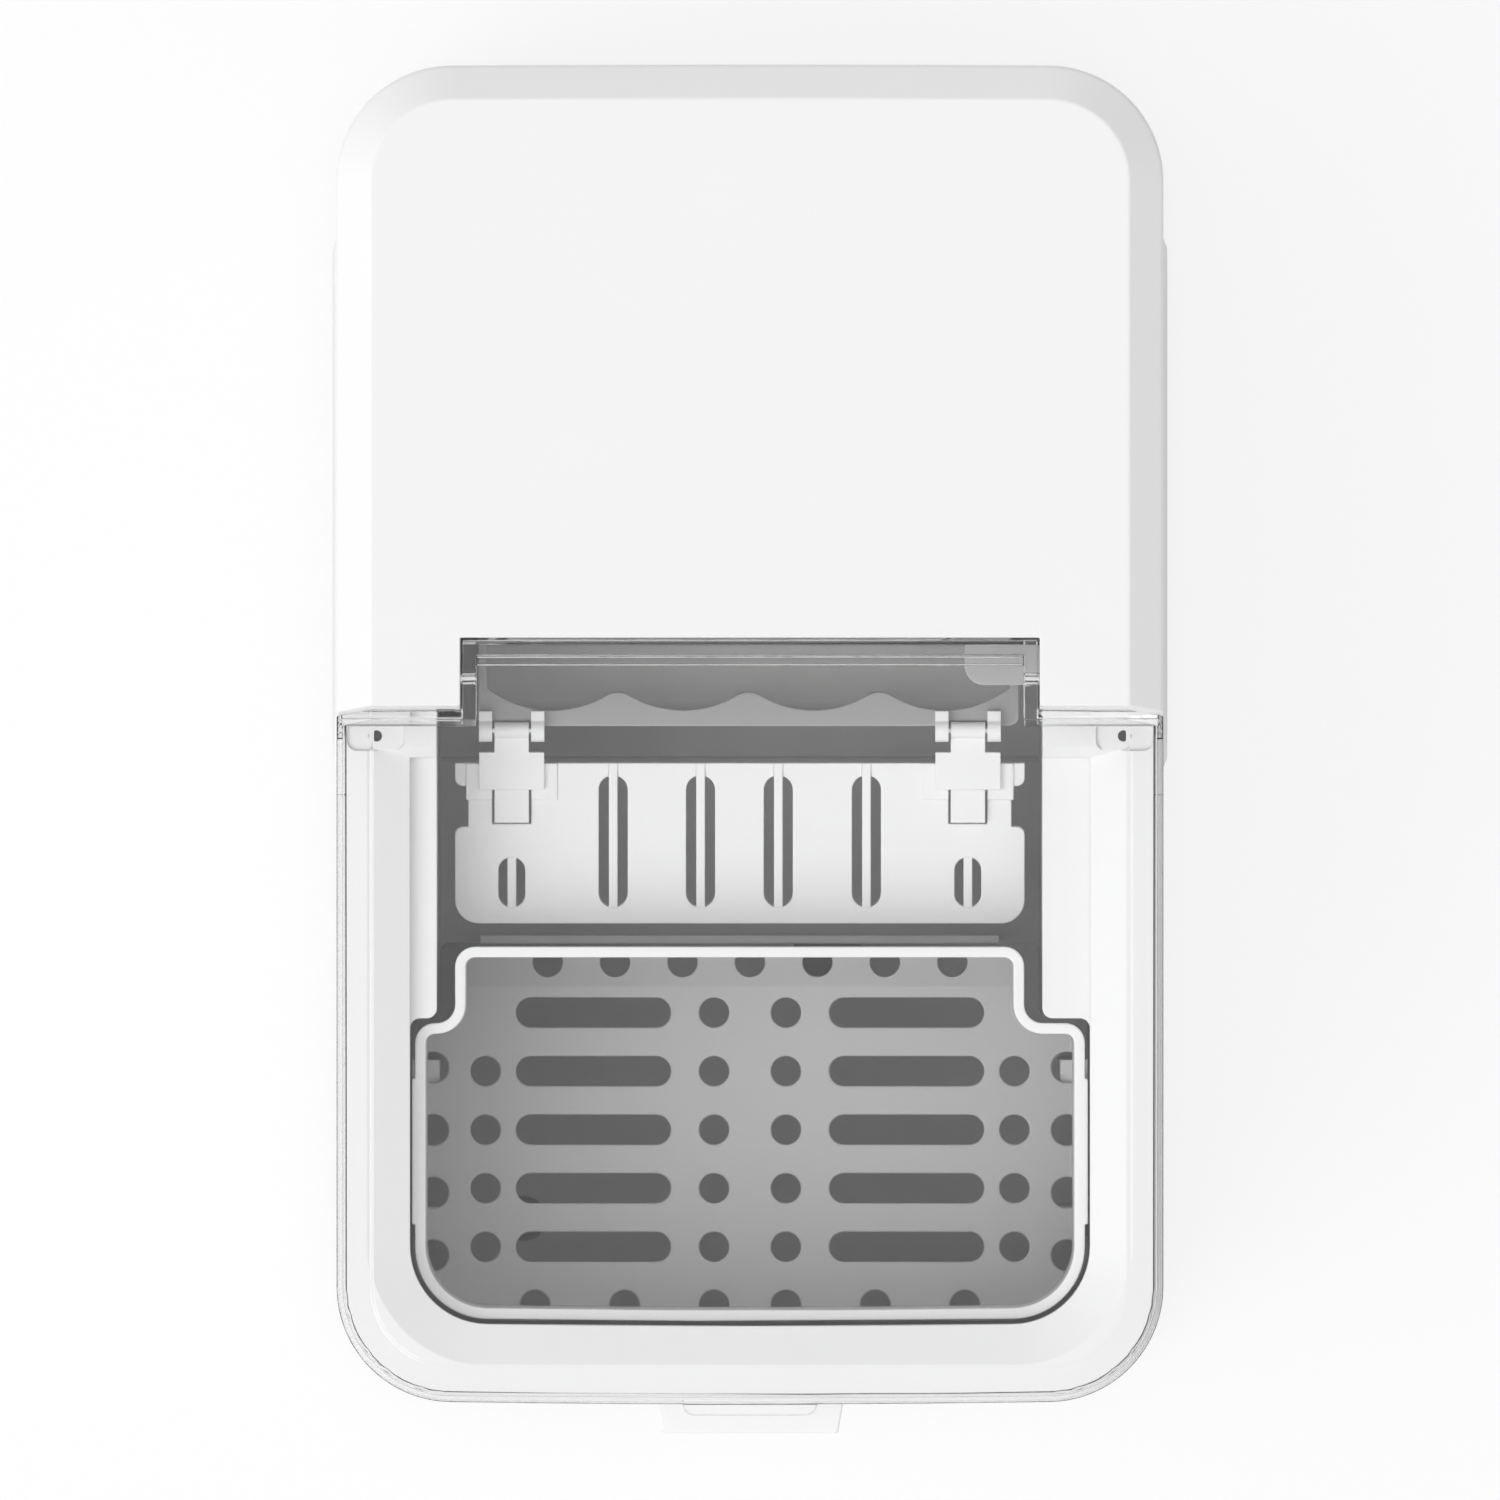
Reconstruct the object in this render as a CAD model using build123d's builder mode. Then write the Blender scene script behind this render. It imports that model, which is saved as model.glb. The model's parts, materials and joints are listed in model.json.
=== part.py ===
from build123d import *
from math import cos, hypot, radians, sin
import os

# Portable ice maker. Millimetres, +Z up, front towards -Y, resting on z = 0.
# The origin is under the middle of the bounding box.

# ---------------------------------------------------------------- casing
casing_width = 222.4
casing_height = 320.0
casing_front = -176.0
casing_rear = 184.35
front_bow = 1.2
rear_bow = 0.5
corner_radius = 31.0
casing_wall = 2.6
foot_height = 8.0
foot_radius = 9.0
foot_inset = 30.0
base_thickness = 2.0
base_inset = 1.0
pan_rim = 14.0
pan_rim_wall = 1.6
seat_gap = 0.2
running_gap = 0.4
housing_split = -12.0
top_height = 28.0
chamfer_run = 9.2
chamfer_drop = 6.0
crown_fillet = 1.6
edge_fillet = 2.0
base_boss_radius = 5.0
base_boss_height = 24.0
screw_radius = 1.6
screw_head_radius = 3.2
screw_head = 1.8

# ---------------------------------------------------------------- lid and its hinge
lid_wall = 2.2
seam_y = 11.1
seam_slant = 8.2
seam_gap = 0.8
lid_lift_gap = 0.4
skirt_depth = 9.0
arm_reach = 77.3
arm_wall = 3.6
arm_depth = 12.0
hinge_y = 19.2
hinge_drop = 5.0
tail_radius = 10.4
tail_skirt = 1.4
lid_rib = 2.1
lid_rib_depth = 4.0
lid_rib_y = 22.9
pin_radius = 1.5
pin_clearance = 0.06
pin_overlap = 4.6
tab_width = 36.3
tab_reach = 3.3
tab_thickness = 3.0
tab_corner = 3.2

# ---------------------------------------------------------------- top cover
cover_wall = 2.4
notch_gap = 0.6
pin_boss_radius = 4.0

# ---------------------------------------------------------------- deck
deck_gap = 0.8
deck_drop = 21.0
deck_thickness = 11.0
deck_band = 19.6
deck_front_band = 20.8
dish_run = 11.0
dish_drop = 4.0
shelf_drop = 8.0
left_shelf = 7.2
right_shelf = 12.8
shelf_rear = -2.0
deck_arm_rear = 28.0
pocket_depth = 1.0
pocket_length = 14.8
pocket_width = 7.8
pocket_corner = 2.7
pocket_y = 3.8
deck_hole_radius = 1.5

# ---------------------------------------------------------------- water tank
tank_wall = 2.5
step_y = -72.3
cavity_bow = 0.9
cavity_corner = 21.0
step_corner = 2.7
corner_margin = 0.4
chamber_rear = 92.0
reservoir_rear = -52.4
reservoir_depth = 168.0
chamber_depth = 98.0
weir_height = 50.0
weir_thickness = 2.3
weir_side = 11.3
chamber_rib = 0.8
chamber_rib_y = -2.4
support_width = 8.0
support_reach = 7.5
foam = 10.0
foam_height = 66.0
sensor_drop = 23.0
drain_radius = 6.0
drain_wall = 2.0
drain_side = 49.2
drain_y = -128.0
cap_radius = 13.0
cap_ground_gap = 1.6
cap_wall = 1.8

# ---------------------------------------------------------------- ice basket
basket_side_gap = 1.3
basket_rear_gap = 0.6
basket_rear_side_gap = 4.9
basket_height = 80.0
basket_drop = 12.0
basket_rim = 2.9
basket_wall = 2.0
rim_height = 4.0
basket_floor = 2.2
basket_slope = 8.4
basket_rear_corner = 5.4
grip_length = 39.3
grip_depth = 12.0
grip_reach = 0.8
grip_y = -108.2
hole_radius = 4.05
hole_pitch = 15.9
hole_rows = 5
hole_column = 9.75
outer_column = 71.8
slot_length = 42.0
slot_x = 42.5
edge_hole_radius = 4.2
rear_hole_count = 7
rear_hole_pitch = 18.3
front_hole_count = 6
front_hole_pitch = 24.3
side_hole_rows = 4
side_hole_pitch = 17.0
side_hole_y = -86.1

# ---------------------------------------------------------------- swing tray
axle_y = 46.0
axle_drop = 58.0
axle_radius = 4.0
tray_left_gap = 11.0
tray_right_gap = 6.2
tray_outer_radius = 38.0
tray_wall = 2.3
tray_rim = 4.0
tray_lip = 1.5
scallop_radius = 28.2
scallop_land = 0.5
scallop_crest = 6.0
finger_count = 4
finger_margin = 2.4
bush_flange = 1.5
bush_wall = 2.0
motor_radius = 24.0
motor_thickness = 16.0

# ---------------------------------------------------------------- shovel
shovel_pin_y = 5.4
shovel_pin_rise = 4.6
shovel_tilt = 8.0
shovel_width = 153.9
shovel_centre = -2.75
shovel_start = 9.3
shovel_length = 43.8
shovel_thickness = 2.4
shovel_tab = 6.3
shovel_waist_end = 17.4
shovel_waist = 3.6
shovel_corner = 6.4
shovel_small_corner = 2.2
shovel_slot_width = 7.8
shovel_slot_length = 36.0
shovel_slot_start = 3.4
short_slot_length = 13.7
shovel_rib = 2.5
shovel_rib_height = 2.6
slot_pitches = (-34.2, -10.6, 10.4, 34.2)
bracket_spread = 61.6
bracket_width = 17.6
bracket_length = 10.2
tongue_width = 9.3
tongue_length = 9.0
tongue_slit = 0.6
ear_width = 3.6
ear_radius = 3.2
ear_gap = 0.6
knuckle_radius = 2.2
hinge_pin_radius = 1.1
bracket_start = 6.1
bracket_rise = 3.2
bar_height = 1.6
tongue_height = 1.4
pad_width = 24.7
pad_length = 10.0
pad_height = 0.6

# ---------------------------------------------------------------- evaporator
finger_radius = 4.5
finger_rows = (-12.0, 12.0)
finger_dip = 22.0
manifold_radius = 5.0
riser_drop = 19.0
line_radius = 3.0
bar_thickness = 3.0
bar_width = 30.0
spout_width = 21.0
spout_length = 11.0
spout_height = 10.0
spout_y = 17.5
spout_corner = 5.4

# ---------------------------------------------------------------- control pod
pod_width = 50.8
pod_front_width = 47.5
pod_reach = 8.35
pod_drop = 45.0
pod_height = 70.0
pod_wall = 2.2
pod_toe = 4.0
pod_edge = 0.8
button_radius = 5.5
button_pitch = 15.0
button_drop = 47.0
button_gap = 0.2
button_travel = 1.0
button_sunk = 0.15
button_flange = 1.2
button_lip = 0.8
button_stem_radius = 2.0
lens_width = 34.0
lens_height = 9.0
lens_drop = 19.0
board_thickness = 1.6
board_standoff = 2.0
switch_size = 6.0
switch_height = 2.8

# ---------------------------------------------------------------- grilles
side_grille_length = 146.2
side_grille_height = 160.0
side_grille_y = 67.0
side_grille_z = 146.0
side_grille_reach = 1.9
side_grille_corner = 15.0
side_grille_border = 12.0
louvre_height = 5.0
louvre_pitch = 11.0
louvre_count = 12
rear_grille_width = 150.0
rear_grille_low = 60.0
rear_grille_headroom = 16.0
rear_grille_border = 8.0
rear_grille_thickness = 2.0

# ---------------------------------------------------------------- cooling machinery
compressor_radius = 43.0
compressor_headroom = 26.0
compressor_side = 73.2
compressor_y = 128.0
compressor_dome = 20.0
grommet_height = 9.0
grommet_radius = 8.0
foot_plate = 3.0
condenser_depth = 24.0
condenser_length = 116.0
condenser_lift = 12.0
condenser_headroom = 6.0
condenser_y = 76.0
condenser_gap = 3.0
tube_radius = 4.0
tube_rows = 6
fin_count = 28
fin_thickness = 0.6
fan_size = 116.0
fan_depth = 25.0
fan_rim = 4.0
fan_hub = 19.0
fan_tip_gap = 1.0
fan_blades = 7
blade_chord = 20.0
blade_thickness = 1.6
blade_pitch = 32.0
spoke_width = 6.0
spoke_depth = 3.0
drier_radius = 9.5
drier_headroom = 12.0
drier_length = 82.0
drier_x = 32.0
drier_y = 148.0
valve_radius = 9.0
valve_rise = 34.0
valve_length = 31.0
coil_size = 22.0
capillary_radius = 1.2
pump_radius = 16.0
pump_height = 44.0
pump_x = 28.0
pump_y = -10.0
hose_radius = 3.5
nipple_radius = 3.0
nipple_length = 16.0
line_crossing_gap = 9.5
mains_board_drop = 46.0
mains_board_height = 68.0
motor_ear_spread = 18.0

# ---------------------------------------------------------------- derived levels
half_width = casing_width / 2
inner_side = half_width - casing_wall
base_top = foot_height + base_thickness
housing_top = casing_height - top_height
lid_bottom = housing_top + lid_lift_gap
hinge_z = casing_height - hinge_drop
deck_top = casing_height - deck_drop
deck_bottom = deck_top - deck_thickness
cavity_half = half_width - deck_band
cavity_front = casing_front + deck_front_band
chamber_left = -cavity_half + left_shelf
chamber_right = cavity_half - right_shelf
tank_top = deck_bottom
reservoir_floor = tank_top - reservoir_depth
axle_z = casing_height - axle_drop
pod_top = casing_height - pod_drop
button_z = pod_top - button_drop
lens_z = pod_top - lens_drop
chamber_floor = tank_top - chamber_depth
basket_top = deck_top - basket_drop
basket_bottom = basket_top - basket_height
tray_left = chamber_left + tray_left_gap
tray_right = chamber_right - tray_right_gap
tray_inner_radius = tray_outer_radius - tray_wall
scallop_y = axle_y - tray_inner_radius + scallop_land + scallop_radius
tray_length = tray_right - tray_left
finger_pitch = (tray_length - 2 * finger_margin) / finger_count
tray_centre = (tray_left + tray_right) / 2
finger_xs = [tray_centre + (i - (finger_count - 1) / 2) * finger_pitch for i in range(finger_count)]
shovel_pin_z = axle_z + shovel_pin_rise
manifold_z = tank_top - manifold_radius
riser_height = casing_height - riser_drop
crossing_z = chamber_floor - tank_wall - line_crossing_gap
drain_x = -half_width + drain_side
compressor_x = -half_width + compressor_side
plate_low = base_top + grommet_height
compressor_low = plate_low + foot_plate
compressor_high = crossing_z - compressor_headroom
condenser_low = base_top + condenser_lift
condenser_height = crossing_z - condenser_headroom - condenser_low
drier_low = crossing_z - drier_headroom - drier_length
valve_low = crossing_z + valve_rise
mains_board_high = casing_height - mains_board_drop
mains_board_low = mains_board_high - mains_board_height
rear_grille_height = mains_board_low - rear_grille_headroom - rear_grille_low
rear_grille_z = rear_grille_low + rear_grille_height / 2
fan_bore = fan_size / 2 - fan_rim
pod_front = casing_front - pod_reach
pod_bottom = pod_top - pod_height

os.makedirs("parts", exist_ok=True)


# ---------------------------------------------------------------- shared shapes
def span_box(x, y, z, mode=Mode.ADD):
    """A box given by its low and high limits along each axis."""
    with Locations([((x[0] + x[1]) / 2, (y[0] + y[1]) / 2, (z[0] + z[1]) / 2)]):
        Box(x[1] - x[0], y[1] - y[0], z[1] - z[0], mode=mode)


def upright(radius, x, y, low, high, mode=Mode.ADD):
    """A vertical cylinder from low to high."""
    with Locations([(x, y, (low + high) / 2)]):
        Cylinder(radius, high - low, mode=mode)


def crossbar(radius, y, z, low, high, mode=Mode.ADD):
    """A cylinder along X from low to high."""
    with Locations([Location(((low + high) / 2, y, z), (0, 90, 0))]):
        Cylinder(radius, high - low, mode=mode)


def lengthwise(radius, x, z, low, high, mode=Mode.ADD):
    """A cylinder along Y from low to high."""
    with Locations([Location((x, (low + high) / 2, z), (90, 0, 0))]):
        Cylinder(radius, high - low, mode=mode)


def casing_plan(inset, z):
    """The casing seen from above, drawn in by inset, with its bowed front and rear."""
    side = half_width - inset
    rear = casing_rear - inset
    front = casing_front + inset
    with BuildSketch(Plane.XY.offset(z)) as plan:
        with BuildLine():
            ThreePointArc((-side, rear - rear_bow), (0, rear), (side, rear - rear_bow))
            Line((side, rear - rear_bow), (side, front + front_bow))
            ThreePointArc((side, front + front_bow), (0, front), (-side, front + front_bow))
            Line((-side, front + front_bow), (-side, rear - rear_bow))
        make_face()
        fillet(plan.vertices(), corner_radius - inset)
    return plan.sketch


def top_form(inset, low):
    """The block under the chamfered top, drawn in by inset from the outer skin, down to z = low."""
    slope = hypot(chamfer_run, chamfer_drop) / chamfer_run
    run = chamfer_run - inset + inset * (slope - 1) * chamfer_run / chamfer_drop
    high = casing_height - inset
    with BuildPart() as form:
        extrude(casing_plan(inset, low), amount=high - low)
        crown = form.faces().sort_by(Axis.Z)[-1]
        chamfer(crown.edges(), length=run, length2=run * chamfer_drop / chamfer_run, reference=crown)
        if inset == 0:
            fillet(form.edges().group_by(Axis.Z)[-1], crown_fillet)
            shoulder = casing_height - chamfer_drop
            ring = form.edges().filter_by(lambda edge: abs(edge.center().Z - shoulder) < 0.01)
            fillet(ring, edge_fillet)
    return form.part


def seam_plane(shift):
    """The slanted joint between the lid and the cover, moved rearwards by shift."""
    return Plane(
        origin=(0, seam_y + shift, casing_height), x_dir=(1, 0, 0), z_dir=(0, top_height, -seam_slant)
    )


def round_at(plan, corners, radius):
    """Rounds the drawn outline at the corners nearest to the given points."""
    for x, y in corners:
        nearest = min(plan.vertices(), key=lambda point: hypot(point.X - x, point.Y - y))
        fillet(nearest, radius)


def stepped_plan(z, half, left, right, rear, step, front, corner, small, grow=0.0):
    """A wide front part and a narrower rear part, grown outwards by grow."""
    with BuildSketch(Plane.XY.offset(z)) as plan:
        with BuildLine():
            Polyline(
                (half + grow, front + cavity_bow - grow),
                (half + grow, step + grow),
                (right + grow, step + grow),
                (right + grow, rear + grow),
                (left - grow, rear + grow),
                (left - grow, step + grow),
                (-half - grow, step + grow),
                (-half - grow, front + cavity_bow - grow),
            )
            ThreePointArc(
                (-half - grow, front + cavity_bow - grow),
                (0, front - grow),
                (half + grow, front + cavity_bow - grow),
            )
        make_face()
        wide = (-half - grow, half + grow)
        narrow = (left - grow, right + grow)
        room = half - max(right, -left) - corner_margin
        convex = min(small + grow, room - corner_margin)
        concave = min(max(small - grow, corner_margin), room - convex)
        round_at(plan, [(x, front + cavity_bow - grow) for x in wide], corner + grow)
        round_at(plan, [(x, step + grow) for x in wide], convex)
        round_at(plan, [(x, step + grow) for x in narrow], concave)
        round_at(plan, [(x, rear + grow) for x in narrow], small + grow)
    return plan.sketch


def cavity_plan(z, rear, grow=0.0):
    """The opening that the deck and the tank share."""
    return stepped_plan(
        z,
        cavity_half,
        chamber_left,
        chamber_right,
        rear,
        step_y,
        cavity_front,
        cavity_corner,
        step_corner,
        grow,
    )



# ---------------------------------------------------------------- base and feet
boss_places = [(side * (inner_side - 4.0), y) for side in (-1, 1) for y in (-128.0, -4.0, 158.0)]
foot_places = [
    (side * (half_width - foot_inset), y)
    for side in (-1, 1)
    for y in (casing_front + foot_inset, casing_rear - foot_inset)
]
rim_outside = casing_wall + seat_gap

with BuildPart() as base_pan:
    extrude(casing_plan(base_inset, foot_height), amount=base_thickness)
    extrude(casing_plan(rim_outside, base_top), amount=pan_rim)
    extrude(casing_plan(rim_outside + pan_rim_wall, base_top), amount=pan_rim, mode=Mode.SUBTRACT)
    for x, y in boss_places:
        upright(base_boss_radius + seat_gap, x, y, base_top, base_top + pan_rim, Mode.SUBTRACT)
        upright(screw_radius + seat_gap, x, y, foot_height, base_top, Mode.SUBTRACT)
    upright(cap_radius + running_gap, drain_x, drain_y, foot_height, base_top, Mode.SUBTRACT)
base_pan.part.label = "base_pan"
export_step(base_pan.part, "parts/base_pan.step")

with BuildPart() as feet:
    with Locations([(x, y, foot_height / 2) for x, y in foot_places]):
        Cylinder(foot_radius, foot_height)
    fillet(feet.edges().group_by(Axis.Z)[0], 1.2)
feet.part.label = "feet"
export_step(feet.part, "parts/feet.step")

with BuildPart() as base_screws:
    for x, y in boss_places:
        upright(screw_head_radius, x, y, foot_height - screw_head, foot_height)
        upright(screw_radius, x, y, foot_height, base_top + base_boss_height / 2)
base_screws.part.label = "base_screws"
export_step(base_screws.part, "parts/base_screws.step")


# ---------------------------------------------------------------- housings
def housing_shell():
    """The whole wrap-round casing wall with its screw bosses, before it is parted."""
    height = housing_top - base_top
    with BuildPart() as shell:
        extrude(casing_plan(0, base_top), amount=height)
        extrude(casing_plan(casing_wall, base_top), amount=height, mode=Mode.SUBTRACT)
        for x, y in boss_places:
            upright(base_boss_radius, x, y, base_top, base_top + base_boss_height)
            upright(screw_radius, x, y, base_top, base_top + base_boss_height / 2, Mode.SUBTRACT)
    return shell.part


board_bottom = pod_bottom + 2.0
board_top = pod_top - 2.0
board_half = pod_width / 2 - 1.0
board_front = casing_front + casing_wall + board_standoff + front_bow
standoff_places = [
    (side * (board_half - 4.0), z) for side in (-1, 1) for z in (board_bottom + 4.0, board_top - 4.0)
]
window_half = button_pitch + button_radius

with BuildPart() as front_housing:
    add(housing_shell())
    split(bisect_by=Plane.XZ.offset(-housing_split), keep=Keep.TOP)
    span_box(
        (-window_half, window_half),
        (casing_front - 1, board_front),
        (pod_bottom + 8, pod_top - 8),
        Mode.SUBTRACT
    )
    for x, z in standoff_places:
        lengthwise(3.0, x, z, casing_front + casing_wall / 2, board_front)
front_housing.part.label = "front_housing"
export_step(front_housing.part, "parts/front_housing.step")

grille_window_length = side_grille_length - 2 * side_grille_border
grille_window_height = side_grille_height - 2 * side_grille_border
inlet_width = 28.0
inlet_height = 20.0
inlet_x = 44.0
inlet_z = 42.0
rear_window_half = rear_grille_width / 2 - rear_grille_border
rear_window_rise = rear_grille_height / 2 - rear_grille_border
deck_screw_x = inner_side - 8.0
deck_boss_depth = 22.0
deck_boss_radius = 4.0

with BuildPart() as rear_housing:
    add(housing_shell())
    split(bisect_by=Plane.XZ.offset(-housing_split), keep=Keep.BOTTOM)
    with Locations([(0, side_grille_y, side_grille_z)]):
        Box(casing_width + 2, grille_window_length, grille_window_height, mode=Mode.SUBTRACT)
    with Locations([(0, casing_rear, rear_grille_z)]):
        Box(2 * rear_window_half, 4 * casing_wall, 2 * rear_window_rise, mode=Mode.SUBTRACT)
    with Locations([(inlet_x, casing_rear, inlet_z)]):
        Box(inlet_width, 4 * casing_wall, inlet_height, mode=Mode.SUBTRACT)
    for side in (-1, 1):
        x = side * deck_screw_x
        upright(deck_boss_radius, x, pocket_y, deck_bottom - deck_boss_depth, deck_bottom)
        span_box(
            sorted((x, side * (inner_side + 1))),
            (pocket_y - 1.5, pocket_y + 1.5),
            (deck_bottom - deck_boss_depth, deck_bottom),
        )
        upright(screw_radius, x, pocket_y, deck_bottom - deck_boss_depth, deck_bottom, Mode.SUBTRACT)
rear_housing.part.label = "rear_housing"
export_step(rear_housing.part, "parts/rear_housing.step")

# ---------------------------------------------------------------- top cover
notch_half = arm_reach + notch_gap
notch_rear = hinge_y + tail_radius + notch_gap
skirt_bottom = casing_height - skirt_depth

with BuildPart() as cover_hollow:
    add(top_form(cover_wall, housing_top - 1))
    split(bisect_by=seam_plane(seam_gap + cover_wall), keep=Keep.TOP)
    span_box(
        (-notch_half - cover_wall, notch_half + cover_wall),
        (seam_y - 30, notch_rear + cover_wall),
        (skirt_bottom, casing_height),
        Mode.SUBTRACT,
    )

with BuildPart() as cover_underside:
    add(top_form(cover_wall, housing_top - 1))
    split(bisect_by=Plane.XY.offset(skirt_bottom), keep=Keep.BOTTOM)

with BuildPart() as top_cover:
    add(top_form(0, housing_top))
    split(bisect_by=seam_plane(seam_gap), keep=Keep.TOP)
    span_box(
        (-notch_half, notch_half),
        (seam_y - 30, notch_rear),
        (housing_top - 1, casing_height + 1),
        Mode.SUBTRACT
    )
    add(cover_hollow.part, mode=Mode.SUBTRACT)
    add(cover_underside.part, mode=Mode.SUBTRACT)
    for side in (-1, 1):
        wall = sorted((side * (notch_half + cover_wall / 2), side * (notch_half + pin_overlap + 1)))
        crossbar(pin_boss_radius, hinge_y, hinge_z, *wall)
        hole = sorted((side * (notch_half - 1), side * (arm_reach + pin_overlap)))
        crossbar(pin_radius, hinge_y, hinge_z, *hole, Mode.SUBTRACT)
top_cover.part.label = "top_cover"
export_step(top_cover.part, "parts/top_cover.step")

# ---------------------------------------------------------------- lid
arm_inside = arm_reach - arm_wall
lid_inner_top = casing_height - lid_wall
tail_top = (tail_radius**2 - hinge_drop**2) ** 0.5
arm_bottom = casing_height - arm_depth
tail_sag = hinge_z - arm_bottom
tail_low = (tail_radius**2 - tail_sag**2) ** 0.5

with BuildPart() as lid_hollow:
    add(top_form(lid_wall, lid_bottom - 1))
    split(bisect_by=seam_plane(-lid_wall), keep=Keep.BOTTOM)

with BuildPart() as lid_underside:
    add(top_form(lid_wall, lid_bottom - 1))
    split(bisect_by=Plane.XY.offset(skirt_bottom), keep=Keep.BOTTOM)

with BuildPart() as lid:
    add(top_form(0, lid_bottom))
    split(bisect_by=seam_plane(0), keep=Keep.BOTTOM)
    with BuildSketch(Plane.YZ.offset(-arm_reach)) as tail:
        with BuildLine():
            Line((seam_y - 4, casing_height), (hinge_y + tail_top, casing_height))
            ThreePointArc(
                (hinge_y + tail_top, casing_height),
                (hinge_y + tail_radius, hinge_z),
                (hinge_y + tail_low, arm_bottom),
            )
            Line((hinge_y + tail_low, arm_bottom), (seam_y - 4, arm_bottom))
            Line((seam_y - 4, arm_bottom), (seam_y - 4, casing_height))
        make_face()
    extrude(amount=2 * arm_reach)
    add(lid_hollow.part, mode=Mode.SUBTRACT)
    add(lid_underside.part, mode=Mode.SUBTRACT)
    tail_inside = hinge_y + tail_low - tail_skirt
    span_box(
        (-arm_inside, arm_inside),
        (seam_y - 8, tail_inside),
        (arm_bottom - 1, lid_inner_top),
        Mode.SUBTRACT,
    )
    span_box(
        (-arm_inside, arm_inside),
        (lid_rib_y, lid_rib_y + lid_rib),
        (lid_inner_top - lid_rib_depth, lid_inner_top)
    )
    crossbar(pin_radius + pin_clearance, hinge_y, hinge_z, -arm_reach - 1, arm_reach + 1, Mode.SUBTRACT)
    with BuildSketch(Plane.XY.offset(lid_bottom)) as tab:
        with Locations([(0, casing_front - tab_reach / 2 + 1)]):
            Rectangle(tab_width, tab_reach + 2)
        fillet(tab.vertices().group_by(Axis.Y)[0], tab_corner)
        add(casing_plan(lid_wall / 2, lid_bottom), mode=Mode.SUBTRACT)
    extrude(tab.sketch, amount=tab_thickness)
lid.part.label = "lid"
export_step(lid.part, "parts/lid.step")

with BuildPart() as lid_pins:
    for side in (-1, 1):
        ends = sorted((side * arm_inside, side * (arm_reach + pin_overlap)))
        crossbar(pin_radius, hinge_y, hinge_z, *ends)
lid_pins.part.label = "lid_pins"
export_step(lid_pins.part, "parts/lid_pins.step")

# ---------------------------------------------------------------- deck
deck_inset = lid_wall + deck_gap
dish_low = deck_top - dish_drop
shelf_top = deck_top - shelf_drop


def dish_plan(z, spread):
    """Outline of the dished opening, spread outwards at the sides and the front."""
    side = cavity_half + spread
    front = cavity_front - spread
    rear = shelf_rear + spread / 4
    with BuildSketch(Plane.XY.offset(z)) as plan:
        with BuildLine():
            Polyline((side, front + cavity_bow), (side, rear), (-side, rear), (-side, front + cavity_bow))
            ThreePointArc((-side, front + cavity_bow), (0, front), (side, front + cavity_bow))
        make_face()
        fillet(plan.vertices().group_by(Axis.Y)[0], cavity_corner + spread)
    return plan.sketch


with BuildPart() as dish:
    loft([dish_plan(dish_low, 0), dish_plan(deck_top, dish_run)], ruled=True)

with BuildPart() as deck:
    extrude(casing_plan(deck_inset, deck_bottom), amount=deck_thickness)
    span_box((-half_width, half_width), (deck_arm_rear, casing_rear), (deck_bottom, deck_top), Mode.SUBTRACT)
    extrude(cavity_plan(deck_bottom, chamber_rear), amount=deck_thickness, mode=Mode.SUBTRACT)
    add(dish.part, mode=Mode.SUBTRACT)
    span_box(
        (-cavity_half, cavity_half), (step_y - step_corner, shelf_rear), (shelf_top, deck_top), Mode.SUBTRACT
    )
    for side in (-1, 1):
        x = side * deck_screw_x
        with BuildSketch(Plane.XY.offset(deck_top)) as pocket:
            with Locations([(x, pocket_y)]):
                RectangleRounded(pocket_length, pocket_width, pocket_corner)
        extrude(pocket.sketch, amount=-pocket_depth, mode=Mode.SUBTRACT)
        upright(deck_hole_radius, x, pocket_y, deck_bottom, deck_top, Mode.SUBTRACT)
deck.part.label = "deck"
export_step(deck.part, "parts/deck.step")

with BuildPart() as deck_screws:
    for side in (-1, 1):
        x = side * deck_screw_x
        low = deck_bottom - deck_boss_depth
        upright(screw_head_radius, x, pocket_y, low - screw_head, low)
        upright(deck_hole_radius, x, pocket_y, low, shelf_top)
deck_screws.part.label = "deck_screws"
export_step(deck_screws.part, "parts/deck_screws.step")

# ---------------------------------------------------------------- water tank
left_wall = (chamber_left - tank_wall, chamber_left)
right_wall = (chamber_right, chamber_right + tank_wall)
support_top = basket_bottom - 0.3
sensor_y = -31.0
sensor_z = tank_top - sensor_drop
sensor_radius = 2.5
nipple_z = reservoir_floor + 9.0
spout_z = tank_top - 1.0 - spout_height / 2
spout_nipple_y = spout_y + spout_length / 2
spout_nipple_end = right_wall[1] + 3.0

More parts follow.
